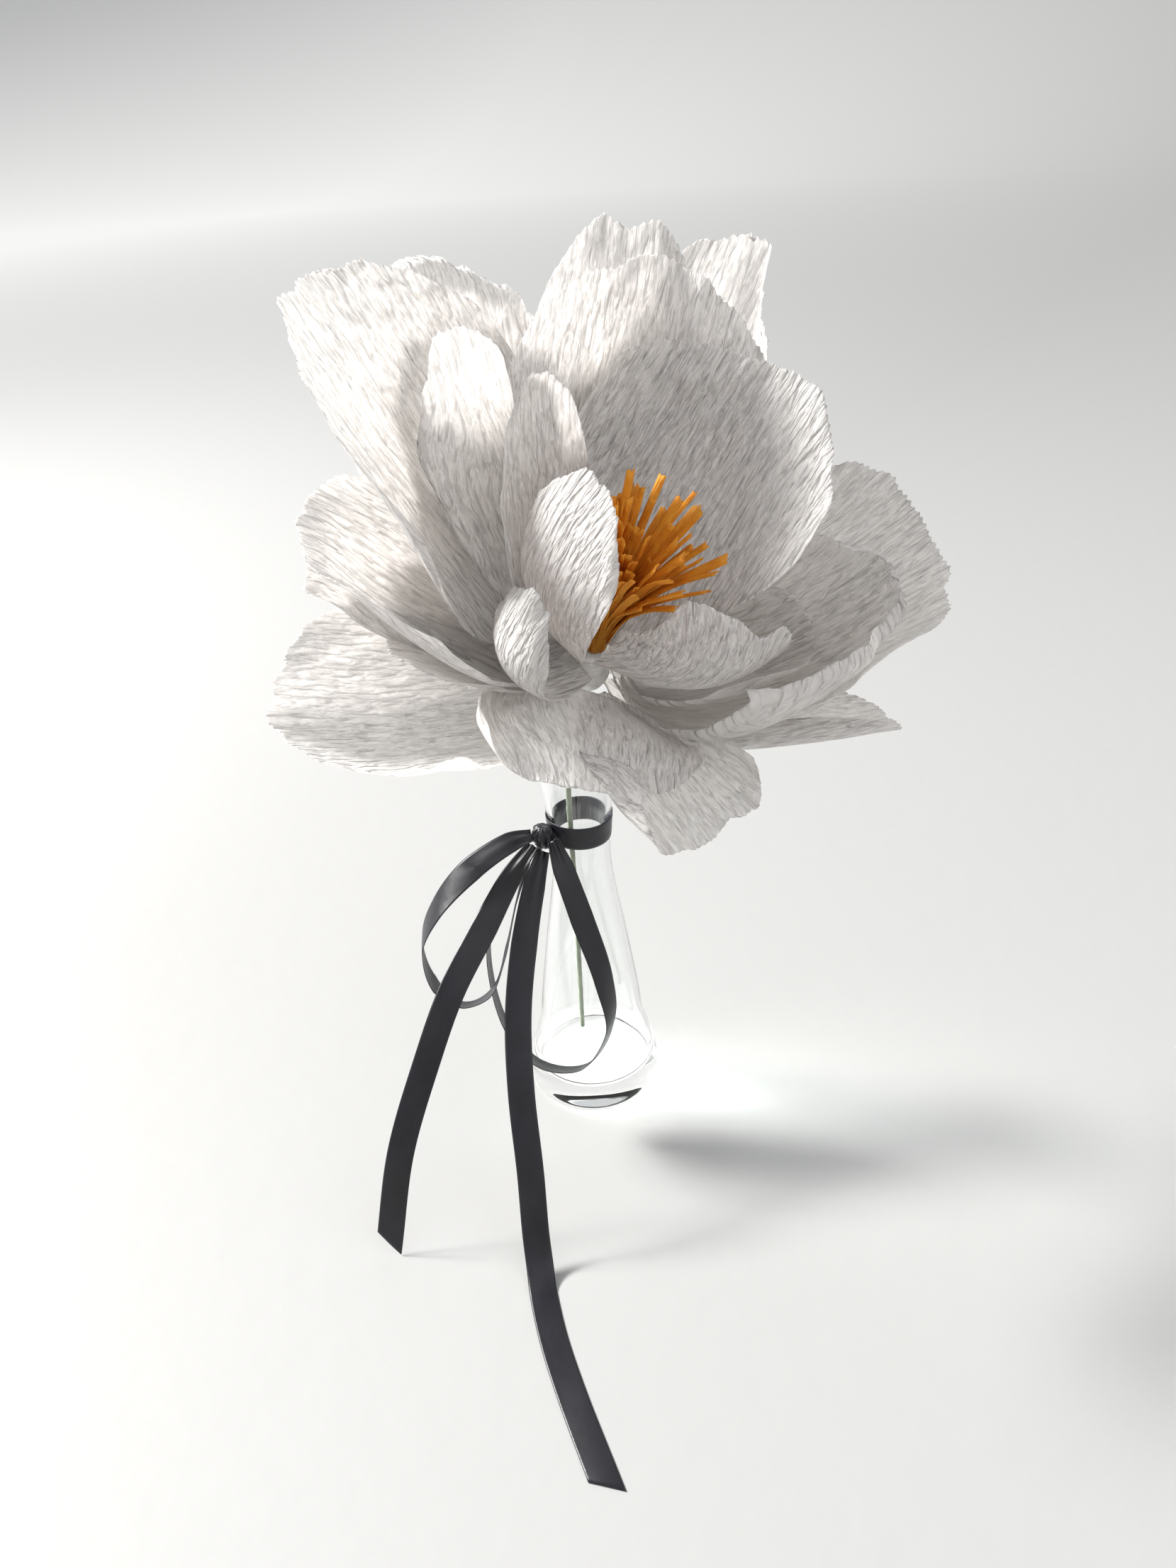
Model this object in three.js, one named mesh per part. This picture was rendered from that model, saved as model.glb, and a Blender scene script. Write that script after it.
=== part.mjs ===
// Paper peony in a glass bud vase, a satin ribbon tied round the neck.
// Millimetres, +Z up, vase axis on Z, table top at z = 0.
import * as THREE from 'three';

// ---- glass vase ----
const VASE_H = 175;        // rim height
const BASE_R = 28;         // widest radius, just above the heel
const FOOT_R = 25.5;       // flat underside radius
const BODY_R = 20.5;       // body radius a quarter of the way up
const NECK_R = 11.5;       // outside radius at the waist of the neck
const RIM_R = 18.5;        // outside radius of the flared rim
const WALL = 2;            // glass wall
const FLOOR_Z = 12;        // top of the thick glass bottom
const VASE_SIDES = 36;

// ---- stem ----
const WIRE_R = 1.1;        // taped wire
const WIRE_SIDES = 10;

// ---- flower head ----
const HEAD_X = 8;          // head centre, from the vase axis
const HEAD_Y = -38;
const HEAD_RISE = 43;      // head centre above the vase rim
const HEAD_TILT = 34;      // degrees toward the front
const HEAD_LEAN = 12;      // degrees toward the right
const FLOWER_SIZE = 1;     // scales the whole head; paper and wire keep their gauge
const PAPER = 0.5;         // crepe paper sheet
const PETAL_GAP = 1.6;     // least spacing of two laid petals, middle to middle
const ROWS = 8;            // petal cells from claw to rim
const COLS = 8;            // petal cells across

// ---- ribbon ----
const RIBBON_W = 10;
const RIBBON_T = 0.5;
const SEAT = 0.3;          // clearance where one piece rests on another
const COLLAR_Z = 0.741;    // collar middle, as a share of the vase height
const KNOT_DEEP = 0.38;    // half the knot's depth, neck to front, as a share of the width
const KNOT_AT = -147;      // degrees round the neck

const DEG = Math.PI / 180;
const V = (x, y, z) => new THREE.Vector3(x, y, z);
const clamp = (t, a, b) => Math.min(b, Math.max(a, t));
const smooth = (t) => clamp(t, 0, 1) ** 2 * (3 - 2 * clamp(t, 0, 1));

// ---- shared builders ----

function meshOf(name, positions, faces, colour) {
  const geometry = new THREE.BufferGeometry();
  const flat = positions.flatMap((p) => [p.x, p.y, p.z]);
  geometry.setAttribute('position', new THREE.Float32BufferAttribute(flat, 3));
  geometry.setIndex(facesOut(positions, faces).flat());
  geometry.computeVertexNormals();
  const mesh = new THREE.Mesh(geometry, new THREE.MeshStandardMaterial({ color: colour }));
  mesh.name = name;
  return mesh;
}

function facesOut(p, faces) {
  const volume = (f) => p[f[0]].dot(V(0, 0, 0).crossVectors(p[f[1]], p[f[2]]));
  const total = faces.reduce((sum, f) => sum + volume(f), 0);
  return total < 0 ? faces.map((f) => [f[0], f[2], f[1]]) : faces;
}

// closed body of revolution round Z from [radius, height] pairs, first and last on the axis
function turned(name, profile, sides, colour) {
  const points = [];
  const faces = [];
  const rings = profile.slice(1, -1);
  points.push(V(0, 0, profile[0][1]), V(0, 0, profile[profile.length - 1][1]));
  for (const [r, z] of rings) {
    for (let k = 0; k < sides; k += 1) {
      const a = (2 * Math.PI * k) / sides;
      points.push(V(r * Math.cos(a), r * Math.sin(a), z));
    }
  }
  const at = (i, k) => 2 + i * sides + (k % sides);
  for (let k = 0; k < sides; k += 1) {
    faces.push([0, at(0, k + 1), at(0, k)]);
    faces.push([1, at(rings.length - 1, k), at(rings.length - 1, k + 1)]);
    for (let i = 0; i + 1 < rings.length; i += 1) {
      faces.push([at(i, k), at(i, k + 1), at(i + 1, k + 1)]);
      faces.push([at(i, k), at(i + 1, k + 1), at(i + 1, k)]);
    }
  }
  return meshOf(name, points, faces, colour);
}

// closed tube of quads from a list of rings, flat ends
function skinned(name, rings, colour) {
  const n = rings[0].length;
  const points = rings.flat();
  const faces = [];
  for (let i = 0; i + 1 < rings.length; i += 1) {
    for (let k = 0; k < n; k += 1) {
      const a = i * n + k;
      const b = i * n + ((k + 1) % n);
      faces.push([a, b, b + n], [a, b + n, a + n]);
    }
  }
  const last = (rings.length - 1) * n;
  for (let k = 1; k + 1 < n; k += 1) {
    faces.push([0, k + 1, k], [last, last + k, last + k + 1]);
  }
  return meshOf(name, points, faces, colour);
}

const lerpList = (list, t) => {
  const q = clamp(t, 0, 1) * (list.length - 1);
  const i = Math.min(Math.floor(q), list.length - 2);
  return list[i] + (list[i + 1] - list[i]) * (q - i);
};

// ---- vase ----

const OUTSIDE = [
  [0, FOOT_R], [0.012, 27.2 / 28 * BASE_R], [0.035, BASE_R], [0.085, 27 / 28 * BASE_R],
  [0.143, 24.2 / 28 * BASE_R], [0.2, (BODY_R + 1.4)], [0.27, BODY_R], [0.36, 18.4 / 20.5 * BODY_R],
  [0.46, 15.9 / 20.5 * BODY_R], [0.56, 13.2 / 11.5 * NECK_R], [0.62, 11.9 / 11.5 * NECK_R],
  [0.68, NECK_R], [0.74, 12 / 11.5 * NECK_R], [0.79, 13.1 / 11.5 * NECK_R],
  [0.86, 15 / 11.5 * NECK_R], [0.93, (RIM_R + 15 / 11.5 * NECK_R) / 2], [1, RIM_R],
];

const BOWL_FLOOR_R = 24.2 / 28 * BASE_R - WALL - 3;    // inside, where the glass floor turns up

function outsideRadius(z) {
  const s = z / VASE_H;
  const k = OUTSIDE.findIndex((row) => row[0] >= s);
  if (k <= 0) return k === 0 ? OUTSIDE[0][1] : RIM_R;
  const [s0, r0] = OUTSIDE[k - 1];
  const [s1, r1] = OUTSIDE[k];
  return r0 + ((r1 - r0) * (s - s0)) / (s1 - s0);
}

function vase() {
  const outer = OUTSIDE.map(([s, r]) => [r, s * VASE_H]);
  const inner = OUTSIDE.map(([s, r]) => [r - WALL, s * VASE_H]).filter((p) => p[1] > FLOOR_Z + 6);
  const rim = [[RIM_R - WALL / 2, VASE_H + 0.7]];
  const bowl = [[BOWL_FLOOR_R + 2.4, FLOOR_Z + 2.5], [BOWL_FLOOR_R, FLOOR_Z + 0.3], [8, FLOOR_Z]];
  const profile = [[0, 0], ...outer, ...rim, ...inner.reverse(), ...bowl, [0, FLOOR_Z]];
  return turned('vase', profile, VASE_SIDES, '#eef3f2');
}

// ---- head frame ----

const HEAD = V(HEAD_X, HEAD_Y, VASE_H + HEAD_RISE);

function headMatrix() {
  const tilt = new THREE.Matrix4().makeRotationX(HEAD_TILT * DEG);
  const lean = new THREE.Matrix4().makeRotationY(HEAD_LEAN * DEG);
  return tilt.multiply(lean).setPosition(HEAD);
}

const HEAD_M = headMatrix();
const toWorld = (p) => p.clone().applyMatrix4(HEAD_M);

// ---- stem ----

function stem() {
  const foot = V(-5, BOWL_FLOOR_R - WIRE_R - 2.6, FLOOR_Z + SEAT + 0.4);
  const mouth = V(-2.6, -10.8 * (NECK_R / 11.5), VASE_H * 0.95);
  const up = V(0, 0, 1).transformDirection(HEAD_M);
  const end = toWorld(V(0, 0, BASE_BOTTOM * FLOWER_SIZE - SEAT));
  const path = [foot, foot.clone().lerp(mouth, 0.5), mouth, end.clone().addScaledVector(up, -16), end];
  const curve = new THREE.CatmullRomCurve3(path, false, 'centripetal');
  const frames = [];
  const n = 22;
  for (let i = 0; i <= n; i += 1) {
    const t = curve.getTangentAt(i / n);
    const centre = curve.getPointAt(i / n);
    const side = V(1, 0, 0).addScaledVector(t, -t.x).normalize();
    const across = V(0, 0, 0).crossVectors(t, side);
    const ring = [];
    for (let k = 0; k < WIRE_SIDES; k += 1) {
      const a = (2 * Math.PI * k) / WIRE_SIDES;
      const arm = side.clone().multiplyScalar(Math.cos(a)).addScaledVector(across, Math.sin(a));
      ring.push(centre.clone().addScaledVector(arm, WIRE_R));
    }
    frames.push(ring);
  }
  return skinned('stem', frames, '#6f7a63');
}

// ---- flower base: the wrapped core every petal claw sits on ----

const BASE_BOTTOM = -24;
const WHORLS = {
  inner: { r0: 4.0, z0: 3 },
  middle: { r0: 5.5, z0: -1 },
  outer: { r0: 6.8, z0: -5 },
  last: { r0: 8.0, z0: -9 },
};

function flowerBase() {
  const clear = (SEAT + 0.15) / FLOWER_SIZE;
  const [inner, middle, outer, last] = Object.values(WHORLS).map((w) => w.r0 - clear);
  const rows = [
    [0, BASE_BOTTOM], [1.5, BASE_BOTTOM], [2.6, -20], [5.4, -15],
    [last, -12], [last, -7.4], [outer, -6.9], [outer, -3.4],
    [middle, -2.9], [middle, 0.6], [inner, 1.2], [inner, 4], [0, 4.6],
  ];
  const mesh = turned('flower_base', rows, 16, '#7d8a6a');
  mesh.geometry.scale(FLOWER_SIZE, FLOWER_SIZE, FLOWER_SIZE);
  mesh.geometry.applyMatrix4(HEAD_M);
  return mesh;
}

// ---- petals ----
// az: where the petal stands round the head; base, tip, curl: degrees it opens from the head axis;
// L, W: sheet length and width; cup: half angle of the cross curve; rim, wave: scallop and ruffle.
// folds: [edge, kept share, roll radius, degrees, +1 outward or -1 inward]

const PETALS = [
  ['petal_inner_front', 'inner', { az: -152, base: 42, tip: -15, curl: -20, L: 94, W: 40, cup: 25,
    roll: 5, shoulder: 0.68, rim: 0.03 }],
  ['petal_inner_left', 'inner', { az: 136, base: 38, tip: 12, curl: -6, L: 97, W: 38, cup: 23,
    roll: 4, shoulder: 0.45 }],
  ['petal_inner_back', 'inner', { az: 54, base: 58, tip: 44, curl: 8, L: 104, W: 90, cup: 42,
    rim: 0.02, shoulder: 0.62, folds: [['T', 0.93, 5, 40, 1]] }],
  ['petal_inner_right', 'middle', { az: -42, base: 69, tip: -4, curl: -18, L: 78, W: 56, roll: -52,
    shoulder: 0.42, rim: -0.11, rims: 1.5, claw: 0.45 }],
  ['petal_middle_small', 'middle', { az: -146, base: 81, tip: -12, curl: -25, L: 80, W: 31, roll: -3,
    shoulder: 0.66, claw: 0.5 }],
  ['petal_inner_low', 'inner', { az: 0, base: 80, tip: 54, L: 70, W: 42, cup: 45 }],
  ['petal_middle_upright', 'middle', { az: 145, base: 41, tip: 25, L: 114, W: 31, cup: -30,
    roll: -15, shoulder: 0.76 }],
  ['petal_middle_back', 'middle', { az: 82, base: 56, tip: 28, curl: 15, L: 122, W: 88, cup: 55,
    wave: 2.5 }],
  ['petal_middle_right', 'middle', { az: 0, base: 83, tip: 23, curl: -6, L: 107, W: 72, cup: 55,
    roll: -6, shoulder: 0.52, rim: 0.02, rims: 1.7 }],
  ['petal_outer_left_high', 'outer', { az: 143, base: 58, tip: 44, curl: 15, L: 141, W: 88, roll: 8,
    wave: 2 }],
  ['petal_middle_left', 'middle', { az: 172, base: 66, tip: 50, curl: 20, L: 100, W: 62 }],
  ['petal_outer_back', 'outer', { az: 88, base: 60, tip: 32, curl: 20, L: 137, W: 58, cup: 40 }],
  ['petal_outer_back_right', 'outer', { az: 68, base: 62, tip: 36, curl: 12, L: 143, W: 70, wave: 2 }],
  ['petal_last_left_high', 'last', { az: 122, base: 56, tip: 36, curl: 20, L: 141, W: 70,
    folds: [['T', 0.9, 5, 90, 1]] }],
  ['petal_outer_right', 'outer', { az: 20, base: 90, tip: 45, curl: 2, L: 132, W: 90, cup: 45,
    roll: -10, shoulder: 0.65, wave: 2 }],
  ['petal_outer_left_small', 'outer', { az: -172, base: 72, tip: 64, L: 62, W: 30, cup: 35 }],
  ['petal_outer_left', 'outer', { az: 174, base: 74, tip: 58, curl: 10, L: 92, W: 46, cup: 45 }],
  ['petal_outer_front', 'outer', { az: -89, base: 20, tip: 104, curl: -21, L: 54, W: 63, cup: 13,
    roll: -11, shoulder: 0.61, claw: 0.4 }],
  ['petal_last_front_right', 'last', { az: -64, base: 66, tip: 83, curl: 7, L: 67, W: 67, cup: 29,
    roll: -10, shoulder: 0.7, rim: 0.05 }],
  ['petal_last_right', 'last', { az: -3, base: 79, tip: 72, curl: -5, L: 108, W: 54, cup: 51,
    roll: 6, shoulder: 0.53 }],
  ['petal_last_left', 'last', { az: -164, base: 86, tip: 72, curl: 10, L: 98, W: 72, cup: 35,
    wave: 2 }],
];

const PLAIN = {
  curl: 0, shoulder: 0.55, claw: 0.1, cup: 50, roll: 0, rim: 0, rims: 3, wave: 0, waves: 2, folds: [],
};

const opening = (p, t) =>
  (p.base + (p.tip - p.base) * smooth(t / 0.85) + p.curl * clamp((t - 0.7) / 0.3, 0, 1) ** 2) * DEG;

function spineOf(p) {
  const steps = 60;
  const az = p.az * DEG;
  const list = [V(p.r0 * Math.cos(az), p.r0 * Math.sin(az), p.z0)];
  for (let i = 0; i < steps; i += 1) {
    const a = opening(p, (i + 0.5) / steps);
    const d = V(Math.sin(a) * Math.cos(az), Math.sin(a) * Math.sin(az), Math.cos(a));
    list.push(list[i].clone().addScaledVector(d, p.L / steps));
  }
  return list;
}

// flat sheet coordinates (x across, y along) of a grid node
function flatPoint(p, u, s) {
  const v = Math.sin((Math.PI / 2) * s);
  const round = p.shoulder + (1 - p.shoulder) * Math.sqrt(Math.max(0, 1 - v * v));
  const t = u * round * (1 + p.rim * Math.sin(p.rims * Math.PI * v));
  const swell = Math.sin((Math.PI / 2) * clamp(t / p.shoulder, 0, 1)) ** 0.85;
  return { x: (p.W / 2) * v * (p.claw + (1 - p.claw) * swell), t, v };
}

function curved(p, spine, { x, t, v }) {
  const steps = spine.length - 1;
  const q = clamp(t, 0, 1) * steps;
  const i = Math.min(Math.floor(q), steps - 1);
  const a = opening(p, t);
  const az = p.az * DEG;
  const side = V(-Math.sin(az), Math.cos(az), 0);
  const inner = V(-Math.cos(a) * Math.cos(az), -Math.cos(a) * Math.sin(az), Math.sin(a));
  const r = p.roll * DEG;
  const lat = side.clone().multiplyScalar(Math.cos(r)).addScaledVector(inner, Math.sin(r));
  const up = inner.clone().multiplyScalar(Math.cos(r)).addScaledVector(side, -Math.sin(r));
  const c = p.cup * DEG * smooth(0.25 + t / 0.5);
  const h = p.W / 2;
  const phi = (c * x) / h;
  const beyond = spine[steps].clone().sub(spine[steps - 1]).multiplyScalar(Math.max(t - 1, 0) * steps);
  const ruffle = p.wave * v * v * Math.sin(2 * Math.PI * p.waves * t + 1.3 * Math.sign(v));
  const lift = ruffle * smooth(t / 0.5);
  return spine[i].clone().lerp(spine[i + 1], q - i).add(beyond)
    .addScaledVector(lat, (h * Math.sin(phi)) / c + -Math.sin(phi) * lift)
    .addScaledVector(up, (h * (1 - Math.cos(phi))) / c + Math.cos(phi) * lift);
}

function petalGrid(p) {
  const spine = spineOf(p);
  const grid = [];
  for (let i = 0; i <= ROWS; i += 1) {
    const row = [];
    for (let j = 0; j <= COLS; j += 1) {
      row.push(curved(p, spine, flatPoint(p, i / ROWS, (2 * j) / COLS - 1)));
    }
    grid.push(row);
  }
  return grid;
}

// ---- laying the petals: each one opens outward until it clears those inside it ----

const POLE_Z = -12;
const LAY_GAP = PETAL_GAP / FLOWER_SIZE;   // in the head's own unscaled frame

function polar(p) {
  const z = p.z - POLE_Z;
  const rho = Math.hypot(p.x, p.y, z);
  return { rho, open: Math.acos(clamp(z / rho, -1, 1)), at: Math.atan2(p.y, p.x) };
}

function fromPolar({ rho, open, at }) {
  const r = rho * Math.sin(open);
  return V(r * Math.cos(at), r * Math.sin(at), rho * Math.cos(open) + POLE_Z);
}

const planOf = (q) => [q.rho * Math.cos(q.at), q.rho * Math.sin(q.at), q.open];

function cellTriangles(plan) {
  const list = [];
  for (let i = 0; i + 1 < plan.length; i += 1) {
    for (let j = 0; j + 1 < plan[i].length; j += 1) {
      const [a, b] = [plan[i][j], plan[i + 1][j]];
      const [c, d] = [plan[i + 1][j + 1], plan[i][j + 1]];
      list.push([a, b, c], [a, c, d]);
    }
  }
  return list.filter(([a, b, c]) => Math.abs(doubleArea(a, b, c)) > 1e-9);
}

const doubleArea = (a, b, c) => (b[0] - a[0]) * (c[1] - a[1]) - (c[0] - a[0]) * (b[1] - a[1]);

// opening angle of a triangle over plan point q, or -1 where it does not cover q
function coverAt(q, [a, b, c]) {
  const whole = doubleArea(a, b, c);
  const wa = doubleArea(q, b, c) / whole;
  const wb = doubleArea(a, q, c) / whole;
  const wc = 1 - wa - wb;
  return wa >= 0 && wb >= 0 && wc >= 0 ? wa * a[2] + wb * b[2] + wc * c[2] : -1;
}

function denser(grid) {
  const rows = [];
  const n = grid.length * 2 - 1;
  const m = grid[0].length * 2 - 1;
  for (let i = 0; i < n; i += 1) {
    const row = [];
    for (let j = 0; j < m; j += 1) {
      const [i0, i1, j0, j1] = [i >> 1, (i + 1) >> 1, j >> 1, (j + 1) >> 1];
      const low = grid[i0][j0].clone().lerp(grid[i1][j0], 0.5);
      const high = grid[i0][j1].clone().lerp(grid[i1][j1], 0.5);
      row.push(low.lerp(high, 0.5));
    }
    rows.push(row);
  }
  return rows;
}

function shortfalls(grid, laid) {
  return denser(grid).map((row) => row.map((p) => {
    const q = polar(p);
    const plan = planOf(q);
    let need = -1;
    for (const triangle of laid) need = Math.max(need, coverAt(plan, triangle));
    return need < 0 ? 0 : Math.max(0, need + LAY_GAP / q.rho - q.open);
  }));
}

const around = (list, i, j, reach) => {
  let most = 0;
  for (let a = i - reach; a <= i + reach; a += 1) {
    for (let b = j - reach; b <= j + reach; b += 1) most = Math.max(most, list[a]?.[b] ?? 0);
  }
  return most;
};

function eased(push) {
  let now = push;
  for (let pass = 0; pass < 6; pass += 1) {
    const last = now;
    now = last.map((row, i) => row.map((value, j) => Math.max(
      value,
      0.8 * (last[i - 1]?.[j] ?? 0),
      0.8 * (last[i + 1]?.[j] ?? 0),
      0.8 * (last[i][j - 1] ?? 0),
      0.8 * (last[i][j + 1] ?? 0),
    )));
  }
  return now;
}

// where a point of a laid petal shows through a cell of the new one: the cell's own push
function undercuts(grid, points) {
  const push = grid.map((row) => row.map(() => 0));
  const plan = grid.map((row) => row.map((p) => planOf(polar(p))));
  const lift = (nodes) => {
    const corners = nodes.map(([i, j]) => plan[i][j]);
    if (Math.abs(doubleArea(...corners)) < 1e-9) return;
    const short = Math.max(...points.map((q) => shortAt(q, corners)), 0);
    for (const [i, j] of nodes) push[i][j] = Math.max(push[i][j], short);
  };
  for (let i = 0; i + 1 < grid.length; i += 1) {
    for (let j = 0; j + 1 < grid[i].length; j += 1) {
      lift([[i, j], [i + 1, j], [i + 1, j + 1]]);
      lift([[i, j], [i + 1, j + 1], [i, j + 1]]);
    }
  }
  return push;
}

function shortAt(q, corners) {
  const open = coverAt(q, corners);
  return open < 0 ? 0 : q[2] + LAY_GAP / Math.hypot(q[0], q[1]) - open;
}

function layGrid(grid, laid, points) {
  let now = grid;
  for (let pass = 0; pass < 5; pass += 1) {
    const fine = shortfalls(now, laid);
    const under = undercuts(now, points);
    const push = eased(now.map((row, i) => row.map((_, j) =>
      Math.max(under[i][j], around(fine, 2 * i, 2 * j, 1)))));
    now = now.map((row, i) => row.map((p, j) => {
      const q = polar(p);
      return fromPolar({ ...q, open: q.open + push[i][j] });
    }));
  }
  return now;
}

function gridNormals(grid) {
  const [n, m] = [grid.length - 1, grid[0].length - 1];
  return grid.map((row, i) => row.map((_, j) => {
    const along = grid[Math.min(i + 1, n)][j].clone().sub(grid[Math.max(i - 1, 0)][j]);
    const across = row[Math.min(j + 1, m)].clone().sub(row[Math.max(j - 1, 0)]);
    return along.cross(across).normalize();
  }));
}

// roll the far part of one strip of points round a small cylinder
function rolled(strip, normals, [, kept, radius, most, sign]) {
  const run = [0];
  for (let k = 1; k < strip.length; k += 1) run.push(run[k - 1] + strip[k].distanceTo(strip[k - 1]));
  const start = kept * run[run.length - 1];
  const j = run.findIndex((s) => s > start);
  const f = (start - run[j - 1]) / (run[j] - run[j - 1]);
  const hinge = strip[j - 1].clone().lerp(strip[j], f);
  const ahead = strip[j].clone().sub(strip[j - 1]).normalize();
  const lift = normals[j - 1].clone().lerp(normals[j], f);
  lift.addScaledVector(ahead, -lift.dot(ahead)).normalize().multiplyScalar(-sign);
  return strip.map((p, k) => {
    if (k < j) return p;
    const turn = Math.min((run[k] - start) / radius, most * DEG);
    const rest = run[k] - start - turn * radius;
    return hinge.clone()
      .addScaledVector(ahead, radius * Math.sin(turn) + rest * Math.cos(turn))
      .addScaledVector(lift, radius * (1 - Math.cos(turn)) + rest * Math.sin(turn));
  });
}

const flipped = (grid) => grid[0].map((_, j) => grid.map((row) => row[j]));
const mirrored = (grid) => grid.map((row) => [...row].reverse());

function folded(grid, fold) {
  const normals = gridNormals(grid);
  const along = (g) => (fold[0] === 'T' ? flipped(g) : fold[0] === 'L' ? mirrored(g) : g);
  const g = along(grid);
  const n = along(normals);
  return along(g.map((strip, i) => (stripLength(strip) < 1 ? strip : rolled(strip, n[i], fold))));
}

const stripLength = (strip) => strip.slice(1).reduce((sum, p, k) => sum + p.distanceTo(strip[k]), 0);

function sheetMesh(name, grid, colour) {
  const normals = gridNormals(grid);
  const [n, m] = [grid.length, grid[0].length];
  const side = (s) => grid.flatMap((row, i) => row.map((p, j) =>
    toWorld(p.clone().multiplyScalar(FLOWER_SIZE).addScaledVector(normals[i][j], (s * PAPER) / 2))));
  const points = [...side(1), ...side(-1)];
  const K = n * m;
  const faces = [];
  for (let i = 0; i + 1 < n; i += 1) {
    for (let j = 0; j + 1 < m; j += 1) {
      const a = i * m + j;
      faces.push([a, a + m, a + m + 1], [a, a + m + 1, a + 1]);
      faces.push([K + a, K + a + m + 1, K + a + m], [K + a, K + a + 1, K + a + m + 1]);
    }
  }
  const edge = rimOrder(n, m);
  edge.forEach((a, k) => {
    const b = edge[(k + 1) % edge.length];
    faces.push([a, b, K + b], [a, K + b, K + a]);
  });
  return meshOf(name, points, faces, colour);
}

// grid nodes round the border of a sheet, in the order its outer walls need
function rimOrder(n, m) {
  const list = [];
  for (let j = 0; j < m - 1; j += 1) list.push(j);
  for (let i = 0; i < n - 1; i += 1) list.push(i * m + m - 1);
  for (let j = m - 1; j > 0; j -= 1) list.push((n - 1) * m + j);
  for (let i = n - 1; i > 0; i -= 1) list.push(i * m);
  return list;
}

function petals() {
  const laid = [];
  const points = [];
  return PETALS.map(([name, whorl, shape]) => {
    const p = { ...PLAIN, ...WHORLS[whorl], ...shape };
    let grid = layGrid(petalGrid(p), laid, points);
    for (const fold of p.folds) grid = folded(grid, fold);
    laid.push(...cellTriangles(grid.map((row) => row.map((q) => planOf(polar(q))))));
    points.push(...denser(grid).flat().map((q) => planOf(polar(q))));
    return sheetMesh(name, grid, '#f4f1ec');
  });
}

// ---- stamens: three rolled strips of orange crepe, each cut into a fringe ----

const STAMENS = [
  { name: 'stamens_outer', r: 3.0, count: 13, length: 62, open: 1, start: 12 },
  { name: 'stamens_middle', r: 2.1, count: 8, length: 64, open: 0.62, start: 30 },
  { name: 'stamens_core', r: 1.2, count: 5, length: 60, open: 0.25, start: 0 },
];
const FRINGE_FOOT = 5.0;   // bottom of the rolled strip, head frame
const FRINGE_ROLL = 6;     // uncut height
const FRINGE_T = 0.5;
const LEAN_AT = 45;        // the fringe opens widest on this side

function fringeOpening(ring, at, k) {
  const spread = 12 + 28 * Math.abs(Math.cos((at - LEAN_AT * DEG) * 0.5)) ** 3;
  return (spread * ring.open + 1.2 * Math.sin(k * 2.4)) * DEG;
}

// four corners of a strip section: centre line, width across, thickness outward
function stripSection(centre, at, open, width, twist) {
  const round = V(-Math.sin(at), Math.cos(at), 0);
  const out = V(Math.cos(open) * Math.cos(at), Math.cos(open) * Math.sin(at), -Math.sin(open));
  const wide = round.clone().multiplyScalar(Math.cos(twist)).addScaledVector(out, Math.sin(twist));
  const thick = out.clone().multiplyScalar(Math.cos(twist)).addScaledVector(round, -Math.sin(twist));
  return [[-1, 1], [1, 1], [1, -1], [-1, -1]].map(([a, b]) => centre.clone()
    .addScaledVector(wide, (a * width) / 2).addScaledVector(thick, (b * FRINGE_T) / 2));
}

function fringe(ring) {
  const points = [];
  const faces = [];
  const quad = (a, b, c, d) => faces.push([a, b, c], [a, c, d]);
  const step = (2 * Math.PI) / ring.count;
  const foot = (at, r, z) => points.push(V(r * Math.cos(at), r * Math.sin(at), z)) - 1;
  const half = FRINGE_T / 2;
  const posts = [];
  for (let k = 0; k < ring.count; k += 1) {
    const at = ring.start * DEG + k * step;
    for (const a of [at - 0.36 * step, at + 0.36 * step]) {
      posts.push([foot(a, ring.r - half, FRINGE_FOOT), foot(a, ring.r + half, FRINGE_FOOT),
        foot(a, ring.r + half, FRINGE_FOOT + FRINGE_ROLL),
        foot(a, ring.r - half, FRINGE_FOOT + FRINGE_ROLL)]);
    }
  }
  posts.forEach((p, k) => {
    const q = posts[(k + 1) % posts.length];
    quad(p[1], q[1], q[2], p[2]);
    quad(p[0], p[3], q[3], q[0]);
    quad(p[0], q[0], q[1], p[1]);
    if (k % 2 === 1) quad(p[3], p[2], q[2], q[3]);
  });
  for (let k = 0; k < ring.count; k += 1) {
    const [p, q] = [posts[2 * k], posts[2 * k + 1]];
    strip(ring, k, ring.start * DEG + k * step, [p[2], q[2], q[3], p[3]], points, quad);
  }
  const placed = points.map((p) => toWorld(p.multiplyScalar(FLOWER_SIZE)));
  return meshOf(ring.name, placed, faces, '#e08a2a');
}

function strip(ring, k, at, base, points, quad) {
  const stations = 4;
  const length = ring.length * (1 + 0.09 * Math.sin(k * 1.9 + ring.r));
  const centre = V(ring.r * Math.cos(at), ring.r * Math.sin(at), FRINGE_FOOT + FRINGE_ROLL);
  let last = base;
  for (let i = 1; i <= stations; i += 1) {
    const open = fringeOpening(ring, at, k) * smooth(0.35 + (0.65 * i) / stations);
    const d = V(Math.sin(open) * Math.cos(at), Math.sin(open) * Math.sin(at), Math.cos(open));
    centre.addScaledVector(d, (length - FRINGE_ROLL) / stations);
    const width = 1.4 + (1.5 * i) / stations;
    const twist = 0.35 * Math.sin(k * 3.1) * (i / stations);
    const now = stripSection(centre, at, open, width, twist).map((p) => points.push(p) - 1);
    now.forEach((c, e) => quad(last[e], last[(e + 1) % 4], now[(e + 1) % 4], c));
    last = now;
  }
  quad(last[0], last[1], last[2], last[3]);
}

// ---- ribbon ----

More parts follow.
